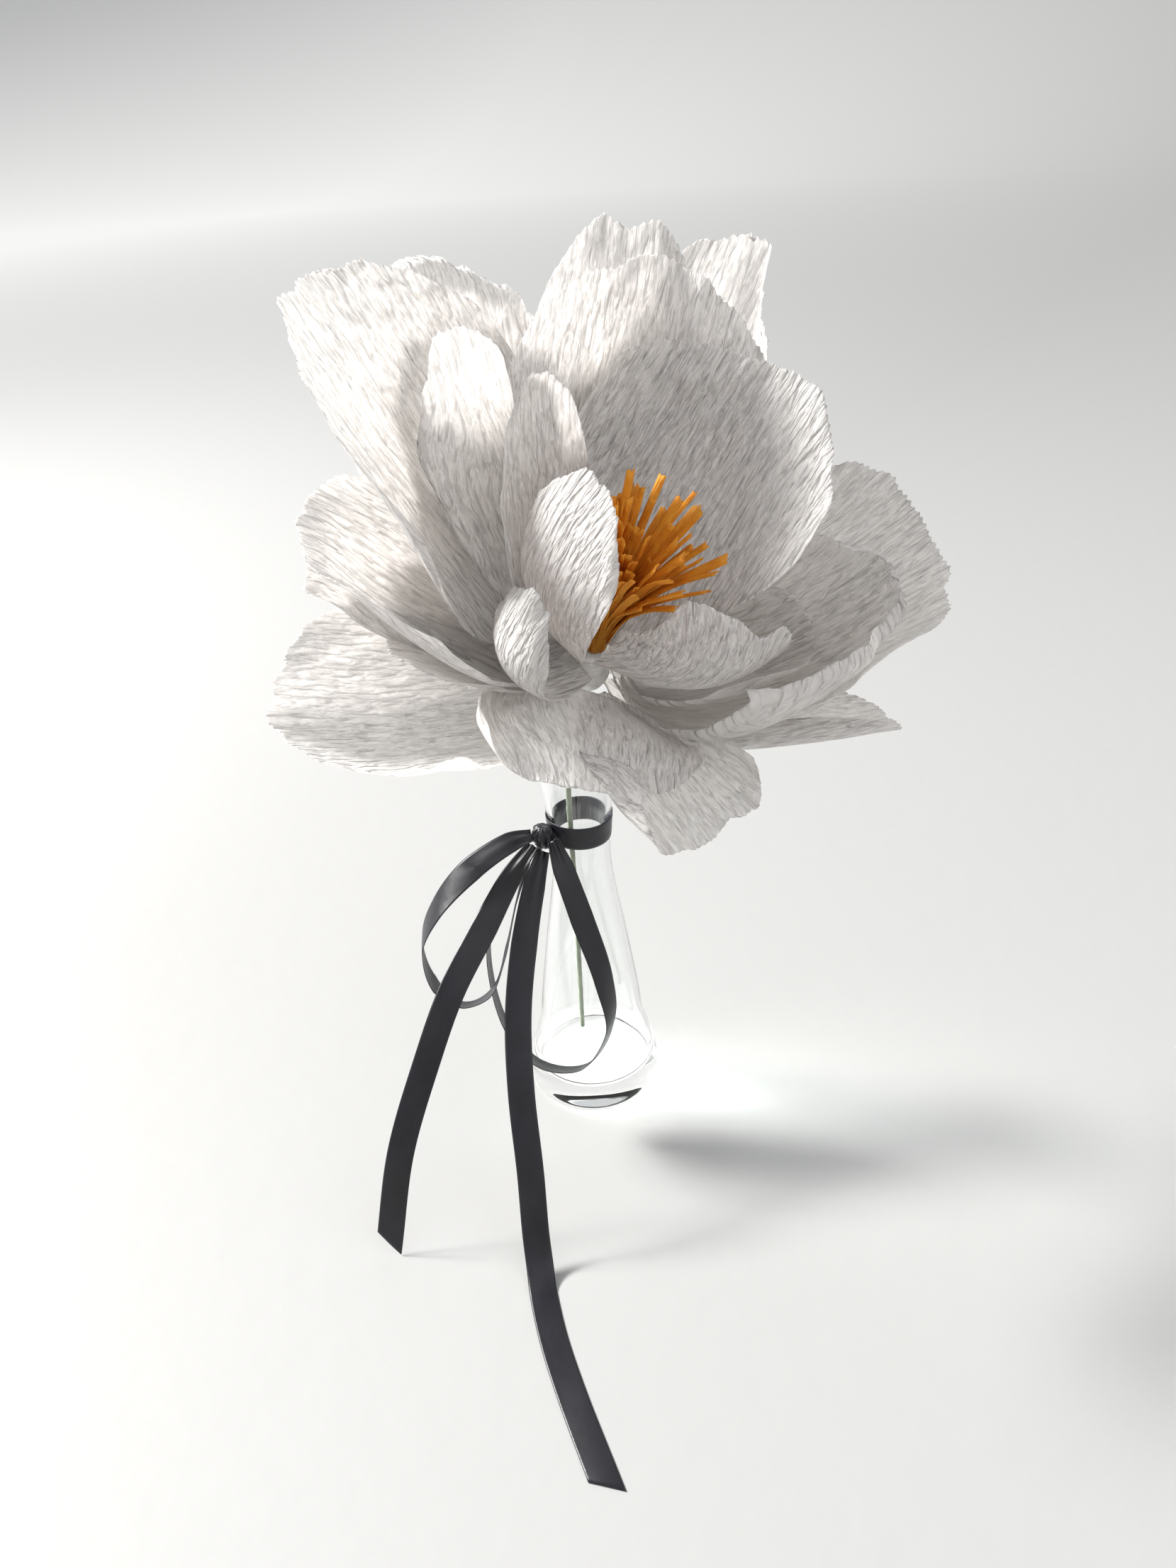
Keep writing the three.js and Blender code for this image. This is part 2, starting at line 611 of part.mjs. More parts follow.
const COLLAR_MID = COLLAR_Z * VASE_H;
const KNOT_HALF = KNOT_DEEP * RIBBON_W;
const KNOT_R = outsideRadius(COLLAR_MID) + 2 * SEAT + RIBBON_T + KNOT_HALF + 0.05;
const KNOT = V(KNOT_R * Math.cos(KNOT_AT * DEG), KNOT_R * Math.sin(KNOT_AT * DEG), COLLAR_MID + 0.5);
const ON_TABLE = RIBBON_T / 2 + 0.1;
const SATIN = '#15151c';

function collar() {
  const points = [];
  const faces = [];
  const heights = [-1, -0.33, 0.33, 1].map((s) => COLLAR_MID + (s * RIBBON_W) / 2);
  const loop = [
    ...heights.map((z) => [outsideRadius(z) + SEAT, z]),
    ...heights.map((z) => [outsideRadius(z) + SEAT + RIBBON_T, z]).reverse(),
  ];
  for (let k = 0; k < VASE_SIDES; k += 1) {
    const a = (2 * Math.PI * k) / VASE_SIDES;
    points.push(...loop.map(([r, z]) => V(r * Math.cos(a), r * Math.sin(a), z)));
  }
  const n = loop.length;
  for (let k = 0; k < VASE_SIDES; k += 1) {
    for (let i = 0; i < n; i += 1) {
      const [a, b] = [k * n + i, k * n + ((i + 1) % n)];
      const shift = (((k + 1) % VASE_SIDES) - k) * n;
      faces.push([a, b, b + shift], [a, b + shift, a + shift]);
    }
  }
  return meshOf('ribbon_collar', points, faces, SATIN);
}

function knot() {
  const rows = [[0, -1], [0.6, -1], [0.89, -0.72], [1, 0], [0.89, 0.72], [0.6, 1], [0, 1]];
  const mesh = turned('ribbon_knot', rows, 12, SATIN);
  mesh.geometry.scale(KNOT_HALF, 1.2 * KNOT_HALF, RIBBON_W / 2);
  mesh.geometry.rotateZ(KNOT_AT * DEG);
  mesh.geometry.translate(KNOT.x, KNOT.y, KNOT.z);
  return mesh;
}

// Ribbon paths. Each row: point, the way the satin face looks, width.
// Measured from the knot, for a 10 mm ribbon; a tail's heights are shares of the knot's own height.
const LOOP_LEFT = [
  [-3.8, -2.1, 2.0, 0, -0.6, 1, 5], [-12, -7, 2.6, -0.2, -0.75, 0.9, 8.5],
  [-28, -13, -5, -0.5, -0.75, 0.5, 10], [-42, -17, -19, -1, -0.45, 0.25, 10],
  [-49, -19, -34, -1, -0.1, 0, 10], [-46.5, -20, -53, -1, 0, -0.5, 10],
  [-36, -20, -64.5, -0.3, -0.5, -1, 10], [-25, -19, -60, 0.8, -0.2, -0.6, 10],
  [-17.5, -16.5, -42, 1, 0, -0.2, 10], [-12, -12, -22, 1, 0, 0, 8], [-6.6, -6.2, -8.2, 1, -0.2, 0, 4],
];
const LOOP_RIGHT = [
  [3.8, -4.6, 0.5, 0.5, -0.8, 0.6, 5], [7, -9, -9, 0.5, -0.85, 0.4, 9],
  [13, -14, -30, 0.5, -0.85, 0.3, 10], [20, -19.5, -56, 0.7, -0.7, 0.1, 10],
  [21.5, -24, -77, 1, -0.5, -0.5, 10], [10, -25.5, -96, 0.3, -0.6, -1, 10],
  [-7, -24, -95, -0.5, -0.4, -1, 10], [-20, -18, -80, -1, -0.1, -0.5, 10],
  [-26, -4, -56, -1, 0.1, 0, 10], [-21, -2.5, -31, -1, 0.2, 0.2, 9],
  [-9.5, 1.5, -14, -1, 0.3, 0.4, 6], [-1.2, 0.6, -5.6, -1, 0.2, 0.6, 4],
];
const TAIL_LEFT = [
  [-4.1, -3.4, 0.984, -0.4, -0.8, 0.6, 5], [-12.3, -12.3, 0.93, -0.3, -0.85, 0.5, 8.5],
  [-23.8, -25.8, 0.82, 0, -0.87, 0.5, 10], [-36.8, -40.8, 0.69, 0, -0.87, 0.5, 10],
  [-47.8, -54.8, 0.52, 0, -0.87, 0.5, 10], [-59.3, -69.8, 0.3, 0, -0.87, 0.5, 10],
  [-66.8, -82.3, 0.035, 0, -0.87, 0.5, 10],
];
const TAIL_RIGHT = [
  [-0.2, -6.2, 0.975, 0, -0.9, 0.4, 5], [-4.3, -15.3, 0.9, 0, -0.87, 0.5, 8.5],
  [-9.3, -28.8, 0.765, 0, -0.87, 0.5, 10], [-12.8, -44.8, 0.61, 0, -0.87, 0.5, 10],
  [-13, -62.8, 0.45, 0, -0.87, 0.5, 10], [-11.3, -78.8, 0.26, 0, -0.87, 0.5, 10],
  [-10.8, -88.8, 0.1, 0, -0.7, 0.7, 10], [-9.8, -96.3, 0.03, 0, -0.2, 1, 10],
  [-8.8, -104.8, 0, 0, 0, 1, 10], [-5.3, -122.8, 0, 0, 0, 1, 10], [0.7, -143.8, 0, 0, 0, 1, 10],
  [11.2, -174.8, 0, 0, 0, 1, 10],
];

const WIDER = RIBBON_W / 10;
const fromKnot = (rows) => rows.map(([x, y, z, ...rest]) =>
  [KNOT.x + x * WIDER, KNOT.y + y * WIDER, KNOT.z + z * WIDER, ...rest]);
const onTable = (rows) => rows.map(([x, y, h, ...rest]) =>
  [KNOT.x + x * WIDER, KNOT.y + y * WIDER, ON_TABLE + h * KNOT.z, ...rest]);

function ribbon(name, rows, stations, slant) {
  const path = new THREE.CatmullRomCurve3(rows.map((r) => V(r[0], r[1], r[2])), false, 'centripetal');
  const rings = [];
  for (let i = 0; i <= stations; i += 1) {
    const t = i / stations;
    const centre = path.getPoint(t);
    centre.z = Math.max(centre.z, ON_TABLE);
    const ahead = path.getTangent(t);
    const face = V(...[3, 4, 5].map((c) => lerpList(rows.map((r) => r[c]), t)));
    face.addScaledVector(ahead, -face.dot(ahead)).normalize();
    const wide = V(0, 0, 0).crossVectors(ahead, face);
    const half = (lerpList(rows.map((r) => r[6]), t) / 2) * WIDER;
    const lead = i === stations ? slant : 0;
    rings.push([[-1, -1], [1, -1], [1, 1], [-1, 1]].map(([a, b]) => centre.clone()
      .addScaledVector(wide, a * half).addScaledVector(ahead, (a * lead) / 2)
      .addScaledVector(face, (b * RIBBON_T) / 2)));
  }
  return skinned(name, rings, SATIN);
}

function bow() {
  return [
    collar(),
    knot(),
    ribbon('ribbon_loop_left', fromKnot(LOOP_LEFT), 30, 0),
    ribbon('ribbon_loop_right', fromKnot(LOOP_RIGHT), 33, 0),
    ribbon('ribbon_tail_left', onTable(TAIL_LEFT), 18, -8),
    ribbon('ribbon_tail_right', onTable(TAIL_RIGHT), 27, -7),
  ];
}

const peony = new THREE.Group();
peony.name = 'paper_peony_in_bud_vase';
peony.add(vase(), stem(), flowerBase(), ...petals(), ...STAMENS.map(fringe), ...bow());
export default peony;
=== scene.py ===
import math

import bpy
import numpy as np
from mathutils import Matrix, Vector
from mathutils.kdtree import KDTree


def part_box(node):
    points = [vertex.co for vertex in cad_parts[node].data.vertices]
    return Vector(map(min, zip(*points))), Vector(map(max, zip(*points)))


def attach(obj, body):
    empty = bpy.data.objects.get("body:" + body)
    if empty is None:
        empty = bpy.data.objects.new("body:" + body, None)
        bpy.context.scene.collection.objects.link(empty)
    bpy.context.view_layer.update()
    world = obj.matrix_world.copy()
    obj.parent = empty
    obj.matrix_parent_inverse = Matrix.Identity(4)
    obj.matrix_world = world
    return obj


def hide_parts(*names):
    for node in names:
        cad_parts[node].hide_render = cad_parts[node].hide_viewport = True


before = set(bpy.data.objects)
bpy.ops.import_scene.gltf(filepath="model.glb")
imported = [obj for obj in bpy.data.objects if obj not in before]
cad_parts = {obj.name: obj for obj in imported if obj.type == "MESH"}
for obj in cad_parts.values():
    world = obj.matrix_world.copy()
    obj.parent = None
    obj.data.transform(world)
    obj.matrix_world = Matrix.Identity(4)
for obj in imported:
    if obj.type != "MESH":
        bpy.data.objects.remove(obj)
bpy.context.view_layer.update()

MM = 0.001
DEG = math.pi / 180

# ---- sizes, the part's own ----
RIM_CROWN = 0.7       # height of the rounded rim over the vase's side
VASE_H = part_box("vase")[1].z / MM - RIM_CROWN
BASE_R = 28
FOOT_R = 25.5
BODY_R = 20.5
NECK_R = 11.5
RIM_R = 18.5
WALL = 2
FLOOR_Z = 12
WIRE_R = 1.1
HEAD = np.array([8.0, -38.0, VASE_H + 43])
HEAD_TILT = 34 * DEG
HEAD_LEAN = 12 * DEG
POLE = np.array([0.0, 0.0, -12.0])
PETAL_GAP = 1.6
CELLS = 8
RIBBON_W = 10
SEAT = 0.3
COLLAR_MID = 0.741 * VASE_H
KNOT_DEEP = 3.8
KNOT_AT = -147 * DEG
BASE_BOTTOM = -24
ON_TABLE = 0.35

# ---- sizes of the finished surfaces ----
PAPER_T = 0.24
CELL = 0.95           # petal mesh pitch
RIBBON_T = 0.22
TURNED_SIDES = 144
SHEET_UV = "sheet"    # each sheet's flat coordinates, in centimetres

# ---- camera and light, in metres and watts ----
CAMERA_AT = (0.0042, -0.392, 0.373)
CAMERA_PITCH = 30 * DEG
CAMERA_ROLL = 3.46 * DEG
CAMERA_LENS = 27.03
SUNLIGHT = (1.0, 0.985, 0.965)
SKYLIGHT = (0.93, 0.945, 0.96, 1)
SUN_WAY = (0.76, -0.24, -0.60)
SUN_POWER = 4.0
SKY_POWER = 0.72
PANE_AT = (-1.29, 0.37, 1.22)
FILL_AT = (0.9, -0.9, 0.9)
WALL_FROM = 6         # radius at which the floor starts to turn up
WALL_TURN = 3         # radius of that turn
SUNK = 0.00002        # floor under the vase's foot, so that they don't share a face


def smooth(t):
    t = np.clip(t, 0, 1)
    return t * t * (3 - 2 * t)


def unit(v):
    return v / np.maximum(np.linalg.norm(v, axis=-1, keepdims=True), 1e-12)


def head_axes():
    ct, st, cl, sl = math.cos(HEAD_TILT), math.sin(HEAD_TILT), math.cos(HEAD_LEAN), math.sin(HEAD_LEAN)
    tilt = np.array([[1, 0, 0], [0, ct, -st], [0, st, ct]])
    lean = np.array([[cl, 0, sl], [0, 1, 0], [-sl, 0, cl]])
    return tilt @ lean


HEAD_AXES = head_axes()


def to_world(p):
    return p @ HEAD_AXES.T + HEAD


# ---- noise on a lattice, the same on every run ----

def lattice(ix, iy, seed):
    n = np.sin(ix * 127.1 + iy * 311.7 + seed * 74.7) * 43758.5453
    return n - np.floor(n)


def noise(x, y, seed=0):
    """Smooth value noise from -1 to 1, one bump per unit."""
    ix, iy = np.floor(x), np.floor(y)
    fx, fy = smooth(x - ix), smooth(y - iy)
    low = lattice(ix, iy, seed) * (1 - fx) + lattice(ix + 1, iy, seed) * fx
    high = lattice(ix, iy + 1, seed) * (1 - fx) + lattice(ix + 1, iy + 1, seed) * fx
    return 2 * (low * (1 - fy) + high * fy) - 1


# ---- meshes ----

def new_object(name, data):
    obj = bpy.data.objects.new(name, data)
    bpy.context.scene.collection.objects.link(obj)
    return obj


def new_mesh(name, points, faces):
    """A smooth mesh from points in millimetres and faces of any number of corners."""
    mesh = bpy.data.meshes.new(name)
    corners = [list(map(int, face)) for face in faces]
    mesh.from_pydata((np.asarray(points, float) * MM).tolist(), [], corners)
    mesh.polygons.foreach_set("use_smooth", [True] * len(mesh.polygons))
    return mesh


def sheet_mesh_object(name, points, quads, uvs):
    """An object from points in millimetres and four-cornered faces; uvs gives one pair per point."""
    mesh = new_mesh(name, points, quads)
    layer = mesh.uv_layers.new(name=SHEET_UV)
    corner = np.zeros(len(mesh.loops), np.int32)
    mesh.loops.foreach_get("vertex_index", corner)
    layer.data.foreach_set("uv", np.asarray(uvs, np.float32)[corner].ravel())
    mesh.validate()
    mesh.update()
    return new_object(name, mesh)


def solid_object(name, points, faces):
    mesh = new_mesh(name, points, faces)
    mesh.update()
    return new_object(name, mesh)


def grid_quads(n, m, closed=False):
    rows, cols = np.meshgrid(np.arange(n - 1), np.arange(m if closed else m - 1), indexing="ij")
    a, b = (rows * m + cols).ravel(), (rows * m + (cols + 1) % m).ravel()
    return np.stack([a, a + m, b + m, b], 1)


def border(n, m):
    """The outline of an n by m grid of points, in order."""
    return ([j for j in range(m - 1)] + [i * m + m - 1 for i in range(n - 1)]
            + [(n - 1) * m + j for j in range(m - 1, 0, -1)] + [i * m for i in range(n - 1, 0, -1)])


def grid_normals(grid):
    return unit(np.cross(np.gradient(grid, axis=0), np.gradient(grid, axis=1)))


def sheet_object(name, grid, thickness, uv, place=lambda p: p):
    """A thin closed sheet from a grid of middle points; uv is the grid of flat sizes."""
    n, m = grid.shape[:2]
    normals = grid_normals(grid)
    sides = [(grid + s * normals * thickness / 2).reshape(-1, 3) for s in (1, -1)]
    quads = grid_quads(n, m)
    ring = np.array(border(n, m))
    after = np.roll(ring, -1)
    walls = np.stack([ring, after, after + n * m, ring + n * m], 1)
    faces = np.concatenate([quads, quads[:, ::-1] + n * m, walls])
    flat = uv.reshape(-1, 2)
    return sheet_mesh_object(name, place(np.concatenate(sides)), faces, np.concatenate([flat, flat]))


def turned_object(name, profile, sides=TURNED_SIDES, place=lambda p: p, ripple=None):
    """A body turned round Z from rows of (radius, height), both ends on the axis."""
    rows = np.array(profile[1:-1], float)
    angles = np.arange(sides) * 2 * math.pi / sides
    radii = np.repeat(rows[:, :1], sides, 1)
    heights = np.repeat(rows[:, 1:], sides, 1)
    if ripple is not None:
        radii = radii + ripple(angles[None, :], heights)
    rings = np.stack([radii * np.cos(angles), radii * np.sin(angles), heights], -1).reshape(-1, 3)
    ends = np.array([[0, 0, profile[0][1]], [0, 0, profile[-1][1]]], float)
    count, last = len(rings), (len(rows) - 1) * sides
    faces = [list(q) for q in grid_quads(len(rows), sides, closed=True)[:, ::-1]]
    for k in range(sides):
        after = (k + 1) % sides
        faces.append([count, after, k])
        faces.append([count + 1, last + k, last + after])
    return solid_object(name, place(np.concatenate([rings, ends])), faces)


def finish_piece(obj, material, slot, *nodes):
    obj.data.materials.clear()
    obj.data.materials.append(material)
    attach(obj, "root")
    if nodes:
        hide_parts(*nodes)
    return obj


# ---- materials ----

def new_material(name):
    material = bpy.data.materials.new(name)
    material.use_nodes = True
    tree = material.node_tree
    shader = next(n for n in tree.nodes if n.type == "BSDF_PRINCIPLED")
    return material, tree, shader


def add_node(tree, kind, **values):
    node = tree.nodes.new(kind)
    for key, value in values.items():
        if key in node.inputs:
            node.inputs[key].default_value = value
        else:
            setattr(node, key, value)
    return node


def sheet_vector(tree, across, along):
    """The flat sheet's own coordinates, in centimetres, scaled across and along."""
    uv = add_node(tree, "ShaderNodeUVMap", uv_map=SHEET_UV)
    scaled = add_node(tree, "ShaderNodeMapping", vector_type="POINT")
    scaled.inputs["Scale"].default_value = (across, along, 1)
    tree.links.new(uv.outputs["UV"], scaled.inputs["Vector"])
    return scaled.outputs["Vector"]


def object_vector(tree, scale):
    place = add_node(tree, "ShaderNodeTexCoord")
    scaled = add_node(tree, "ShaderNodeMapping", vector_type="POINT")
    scaled.inputs["Scale"].default_value = scale
    tree.links.new(place.outputs["Object"], scaled.inputs["Vector"])
    return scaled.outputs["Vector"]


def noise_node(tree, vector, detail=2.0, rough=0.5, distort=0.0):
    values = {"Scale": 1.0, "Detail": detail, "Roughness": rough, "Distortion": distort}
    node = add_node(tree, "ShaderNodeTexNoise", **values)
    tree.links.new(vector, node.inputs["Vector"])
    return node.outputs["Fac"]


def ramp_node(tree, source, low, high, at=(0.3, 0.7)):
    node = add_node(tree, "ShaderNodeValToRGB")
    node.color_ramp.elements[0].position, node.color_ramp.elements[1].position = at
    node.color_ramp.elements[0].color, node.color_ramp.elements[1].color = low, high
    tree.links.new(source, node.inputs["Fac"])
    return node.outputs["Color"]


def bump_node(tree, height, strength, distance, before=None):
    node = add_node(tree, "ShaderNodeBump", Strength=strength, Distance=distance)
    tree.links.new(height, node.inputs["Height"])
    if before is not None:
        tree.links.new(before, node.inputs["Normal"])
    return node.outputs["Normal"]


def crepe_normal(tree, strength):
    """Broken lengthwise ridges a millimetre or so apart, over softer folds."""
    soft = noise_node(tree, sheet_vector(tree, 2.4, 0.5), detail=1.0)
    ridges = noise_node(tree, sheet_vector(tree, 7.0, 1.1), detail=2.0, rough=0.45, distort=0.5)
    fine = noise_node(tree, sheet_vector(tree, 22.0, 2.6), detail=2.0, rough=0.6)
    normal = bump_node(tree, soft, 0.5 * strength, 0.0016)
    normal = bump_node(tree, ridges, strength, 0.0042, normal)
    return bump_node(tree, fine, 0.6 * strength, 0.0003, normal)


def paper_material(name, tones, through, share, strength):
    """Crepe paper. tones are the two ends of its colour; a share of the light goes through it."""
    material, tree, shader = new_material(name)
    fibres = noise_node(tree, sheet_vector(tree, 5.0, 1.2), detail=4.0, rough=0.65)
    tint = ramp_node(tree, fibres, *tones)
    normal = crepe_normal(tree, strength)
    shader.inputs["Roughness"].default_value = 0.55
    shader.inputs["Specular IOR Level"].default_value = 0.35
    tree.links.new(tint, shader.inputs["Base Color"])
    tree.links.new(normal, shader.inputs["Normal"])
    glow = add_node(tree, "ShaderNodeBsdfTranslucent")
    glow.inputs["Color"].default_value = through
    tree.links.new(normal, glow.inputs["Normal"])
    mix = add_node(tree, "ShaderNodeMixShader")
    mix.inputs["Fac"].default_value = share
    tree.links.new(shader.outputs["BSDF"], mix.inputs[1])
    tree.links.new(glow.outputs["BSDF"], mix.inputs[2])
    output = next(n for n in tree.nodes if n.type == "OUTPUT_MATERIAL")
    tree.links.new(mix.outputs["Shader"], output.inputs["Surface"])
    return material


def glass_material():
    material, tree, shader = new_material("clear_glass")
    waves = noise_node(tree, object_vector(tree, (40, 40, 16)), detail=1.0)
    shader.inputs["Base Color"].default_value = (0.985, 0.995, 0.992, 1)
    shader.inputs["Roughness"].default_value = 0.015
    shader.inputs["IOR"].default_value = 1.48
    shader.inputs["Transmission Weight"].default_value = 1.0
    tree.links.new(bump_node(tree, waves, 0.06, 0.002), shader.inputs["Normal"])
    clear = add_node(tree, "ShaderNodeBsdfTransparent")
    clear.inputs["Color"].default_value = (0.93, 0.945, 0.94, 1)
    path = add_node(tree, "ShaderNodeLightPath")
    mix = add_node(tree, "ShaderNodeMixShader")
    tree.links.new(path.outputs["Is Shadow Ray"], mix.inputs["Fac"])
    tree.links.new(shader.outputs["BSDF"], mix.inputs[1])
    tree.links.new(clear.outputs["BSDF"], mix.inputs[2])
    output = next(n for n in tree.nodes if n.type == "OUTPUT_MATERIAL")
    tree.links.new(mix.outputs["Shader"], output.inputs["Surface"])
    return material


def satin_material():
    material, tree, shader = new_material("black_satin")
    threads = noise_node(tree, sheet_vector(tree, 3.0, 90.0), detail=2.0)
    cloud = noise_node(tree, sheet_vector(tree, 1.2, 0.6), detail=3.0)
    tone = ramp_node(tree, cloud, (0.003, 0.003, 0.005, 1), (0.009, 0.009, 0.014, 1))
    rough = ramp_node(tree, threads, (0.30, 0.30, 0.30, 1), (0.42, 0.42, 0.42, 1))
    tree.links.new(tone, shader.inputs["Base Color"])
    tree.links.new(rough, shader.inputs["Roughness"])
    shader.inputs["Sheen Weight"].default_value = 0.10
    shader.inputs["Sheen Roughness"].default_value = 0.35
    shader.inputs["Sheen Tint"].default_value = (0.55, 0.52, 0.72, 1)
    shader.inputs["Anisotropic"].default_value = 0.4
    normal = bump_node(tree, threads, 0.35, 0.0001)
    tree.links.new(bump_node(tree, cloud, 0.25, 0.0006, normal), shader.inputs["Normal"])
    return material


def tape_material():
    material, tree, shader = new_material("stem_tape")
    fibres = noise_node(tree, object_vector(tree, (260, 260, 60)), detail=4.0, rough=0.7)
    tone = ramp_node(tree, fibres, (0.14, 0.17, 0.12, 1), (0.27, 0.30, 0.22, 1))
    tree.links.new(tone, shader.inputs["Base Color"])
    shader.inputs["Roughness"].default_value = 0.62
    tree.links.new(bump_node(tree, fibres, 0.5, 0.0003), shader.inputs["Normal"])
    return material


def core_material():
    """The wrapped core: green tape below, white paper where the petals are glued on."""
    material, tree, shader = new_material("wrapped_core")
    fibres = noise_node(tree, object_vector(tree, (260, 260, 60)), detail=4.0, rough=0.7)
    green = ramp_node(tree, fibres, (0.14, 0.17, 0.12, 1), (0.27, 0.30, 0.22, 1))
    white = ramp_node(tree, fibres, (0.70, 0.69, 0.67, 1), (0.88, 0.87, 0.85, 1))
    place = add_node(tree, "ShaderNodeTexCoord")
    along = add_node(tree, "ShaderNodeVectorMath", operation="DOT_PRODUCT")
    along.inputs[1].default_value = tuple(HEAD_AXES[:, 2])
    tree.links.new(place.outputs["Object"], along.inputs[0])
    rise = add_node(tree, "ShaderNodeMapRange")
    middle = float(HEAD @ HEAD_AXES[:, 2]) * MM
    rise.inputs["From Min"].default_value = middle - 0.016
    rise.inputs["From Max"].default_value = middle - 0.013
    tree.links.new(along.outputs["Value"], rise.inputs["Value"])
    blend = add_node(tree, "ShaderNodeMix", data_type="RGBA")
    tree.links.new(rise.outputs["Result"], blend.inputs[0])
    tree.links.new(green, blend.inputs[6])
    tree.links.new(white, blend.inputs[7])
    tree.links.new(blend.outputs[2], shader.inputs["Base Color"])
    tree.links.new(bump_node(tree, fibres, 0.5, 0.0003), shader.inputs["Normal"])
    shader.inputs["Roughness"].default_value = 0.62
    return material


def floor_painted_light_material():
    """Matt off-white with painted light in its colour: paler far behind the vase, making up for the lamps
    reaching less there, and paler to the left, as if more window light fell there.
    """
    material, tree, shader = new_material("pale_floor_painted_light")
    place = add_node(tree, "ShaderNodeTexCoord")
    along = add_node(tree, "ShaderNodeVectorMath", operation="DOT_PRODUCT")
    along.inputs[1].default_value = (-1.6, 1.0, 0.0)
    tree.links.new(place.outputs["Object"], along.inputs[0])
    rise = add_node(tree, "ShaderNodeMapRange")
    rise.inputs["From Min"].default_value, rise.inputs["From Max"].default_value = 0.5, 8.0
    tree.links.new(along.outputs["Value"], rise.inputs["Value"])
    # painted light: the colour runs from darker near the vase and to the right to paler far back and to the
    # left
    tone = ramp_node(tree, rise.outputs["Result"], (0.36, 0.36, 0.356, 1), (0.68, 0.68, 0.673, 1), (0, 1))
    grain = noise_node(tree, object_vector(tree, (70, 70, 70)), detail=3.0)
    tree.links.new(tone, shader.inputs["Base Color"])
    tree.links.new(bump_node(tree, grain, 0.25, 0.0008), shader.inputs["Normal"])
    shader.inputs["Roughness"].default_value = 0.6
    return material


# ---- stage, light and camera ----

def camera():
    data = bpy.data.cameras.new("camera")
    data.sensor_width = 36
    data.lens = CAMERA_LENS
    data.clip_start = 0.01
    data.clip_end = 60
    obj = new_object("camera", data)
    pitch, roll = CAMERA_PITCH, CAMERA_ROLL
    forward = Vector((0, math.cos(pitch), -math.sin(pitch)))
    level, rise = Vector((1, 0, 0)), Vector((0, math.sin(pitch), math.cos(pitch)))
    right = math.cos(roll) * level - math.sin(roll) * rise
    up = math.sin(roll) * level + math.cos(roll) * rise
    axes = Matrix((right, up, -forward)).transposed().to_4x4()
    obj.matrix_world = Matrix.Translation(CAMERA_AT) @ axes
    bpy.context.scene.camera = obj


def area_light(name, place, aim, size, power, colour):
    data = bpy.data.lights.new(name, "AREA")
    data.shape = "RECTANGLE"
    data.size, data.size_y = size
    data.energy = power
    data.color = colour
    obj = new_object(name, data)
    obj.location = place
    point_along(obj, Vector(aim) - Vector(place))


def point_along(obj, way):
    obj.rotation_mode = "QUATERNION"
    obj.rotation_quaternion = way.to_track_quat("-Z", "Y")


def backdrop_profile():
    """Radius and height, in metres, of a floor that turns up into a wall in one curve."""
    angles = np.arange(0, 19) * 5 * DEG
    turn = [(WALL_FROM + WALL_TURN * math.sin(a), WALL_TURN - WALL_TURN * math.cos(a)) for a in angles]
    return [(0.5, 0), (1.2, 0), (3, 0), *turn]


def backdrop():
    sides = 96
    angles = np.arange(sides) * 2 * math.pi / sides
    rings = [[(r * math.cos(a), r * math.sin(a), z - SUNK) for a in angles] for r, z in backdrop_profile()]
    faces = [list(map(int, q)) for q in grid_quads(len(rings), sides, closed=True)]
    mesh = bpy.data.meshes.new("floor")
    mesh.from_pydata([p for ring in rings for p in ring], [], faces + [list(range(sides))])
    mesh.polygons.foreach_set("use_smooth", [True] * len(mesh.polygons))
    floor = new_object("floor", mesh)
    floor.visible_shadow = False
    mesh.materials.append(floor_painted_light_material())


def sky():
    world = bpy.data.worlds.new("studio")
    world.use_nodes = True
    back = world.node_tree.nodes["Background"]
    back.inputs["Color"].default_value = SKYLIGHT
    back.inputs["Strength"].default_value = SKY_POWER
    bpy.context.scene.world = world


def window_light():
    """Sun from behind on the left, wide enough for soft shadows."""
    sun = bpy.data.lights.new("window", "SUN")
    sun.energy = SUN_POWER
    sun.angle = 10 * DEG
    sun.color = SUNLIGHT
    point_along(new_object("window", sun), Vector(SUN_WAY))


def stage():
    backdrop()
    sky()
    window_light()
    area_light("pane", PANE_AT, (0.0, -0.04, 0.2), (0.35, 0.35), 42, SUNLIGHT)
    area_light("fill", FILL_AT, (0.0, -0.03, 0.2), (1.2, 1.2), 5, (0.95, 0.97, 1.0))
    bpy.context.scene.view_settings.view_transform = "Standard"


# ---- vase ----

def vase_outside():
    """Rows of share of the height and outside radius, from the foot to the rim."""
    neck, base = NECK_R / 11.5, BASE_R / 28
    return [(0, FOOT_R), (0.012, 27.2 * base), (0.035, BASE_R), (0.085, 27 * base), (0.143, 24.2 * base),
            (0.2, BODY_R + 1.4), (0.27, BODY_R), (0.36, 18.4 / 20.5 * BODY_R), (0.46, 15.9 / 20.5 * BODY_R),
            (0.56, 13.2 * neck), (0.62, 11.9 * neck), (0.68, NECK_R), (0.74, 12 * neck),
            (0.79, 13.1 * neck), (0.86, 15 * neck), (0.93, (RIM_R + 15 * neck) / 2), (1, RIM_R)]


def finer(rows, steps):
    """Rows joined by a smooth curve through them, with the ends kept."""
    rows = np.array(rows, float)
    ends = np.concatenate([2 * rows[:1] - rows[1:2], rows, 2 * rows[-1:] - rows[-2:-1]])
    shares = np.arange(steps) / steps
    return np.concatenate([_span(ends, i, shares) for i in range(len(rows) - 1)] + [rows[-1:]])


def _span(p, i, t):
    a, b, c, d = (p[i + k] for k in range(4))
    t = t.reshape((-1,) + (1,) * a.ndim)
    return 0.5 * (2 * b + (c - a) * t + (2 * a - 5 * b + 4 * c - d) * t**2 + (3 * b - a - 3 * c + d) * t**3)


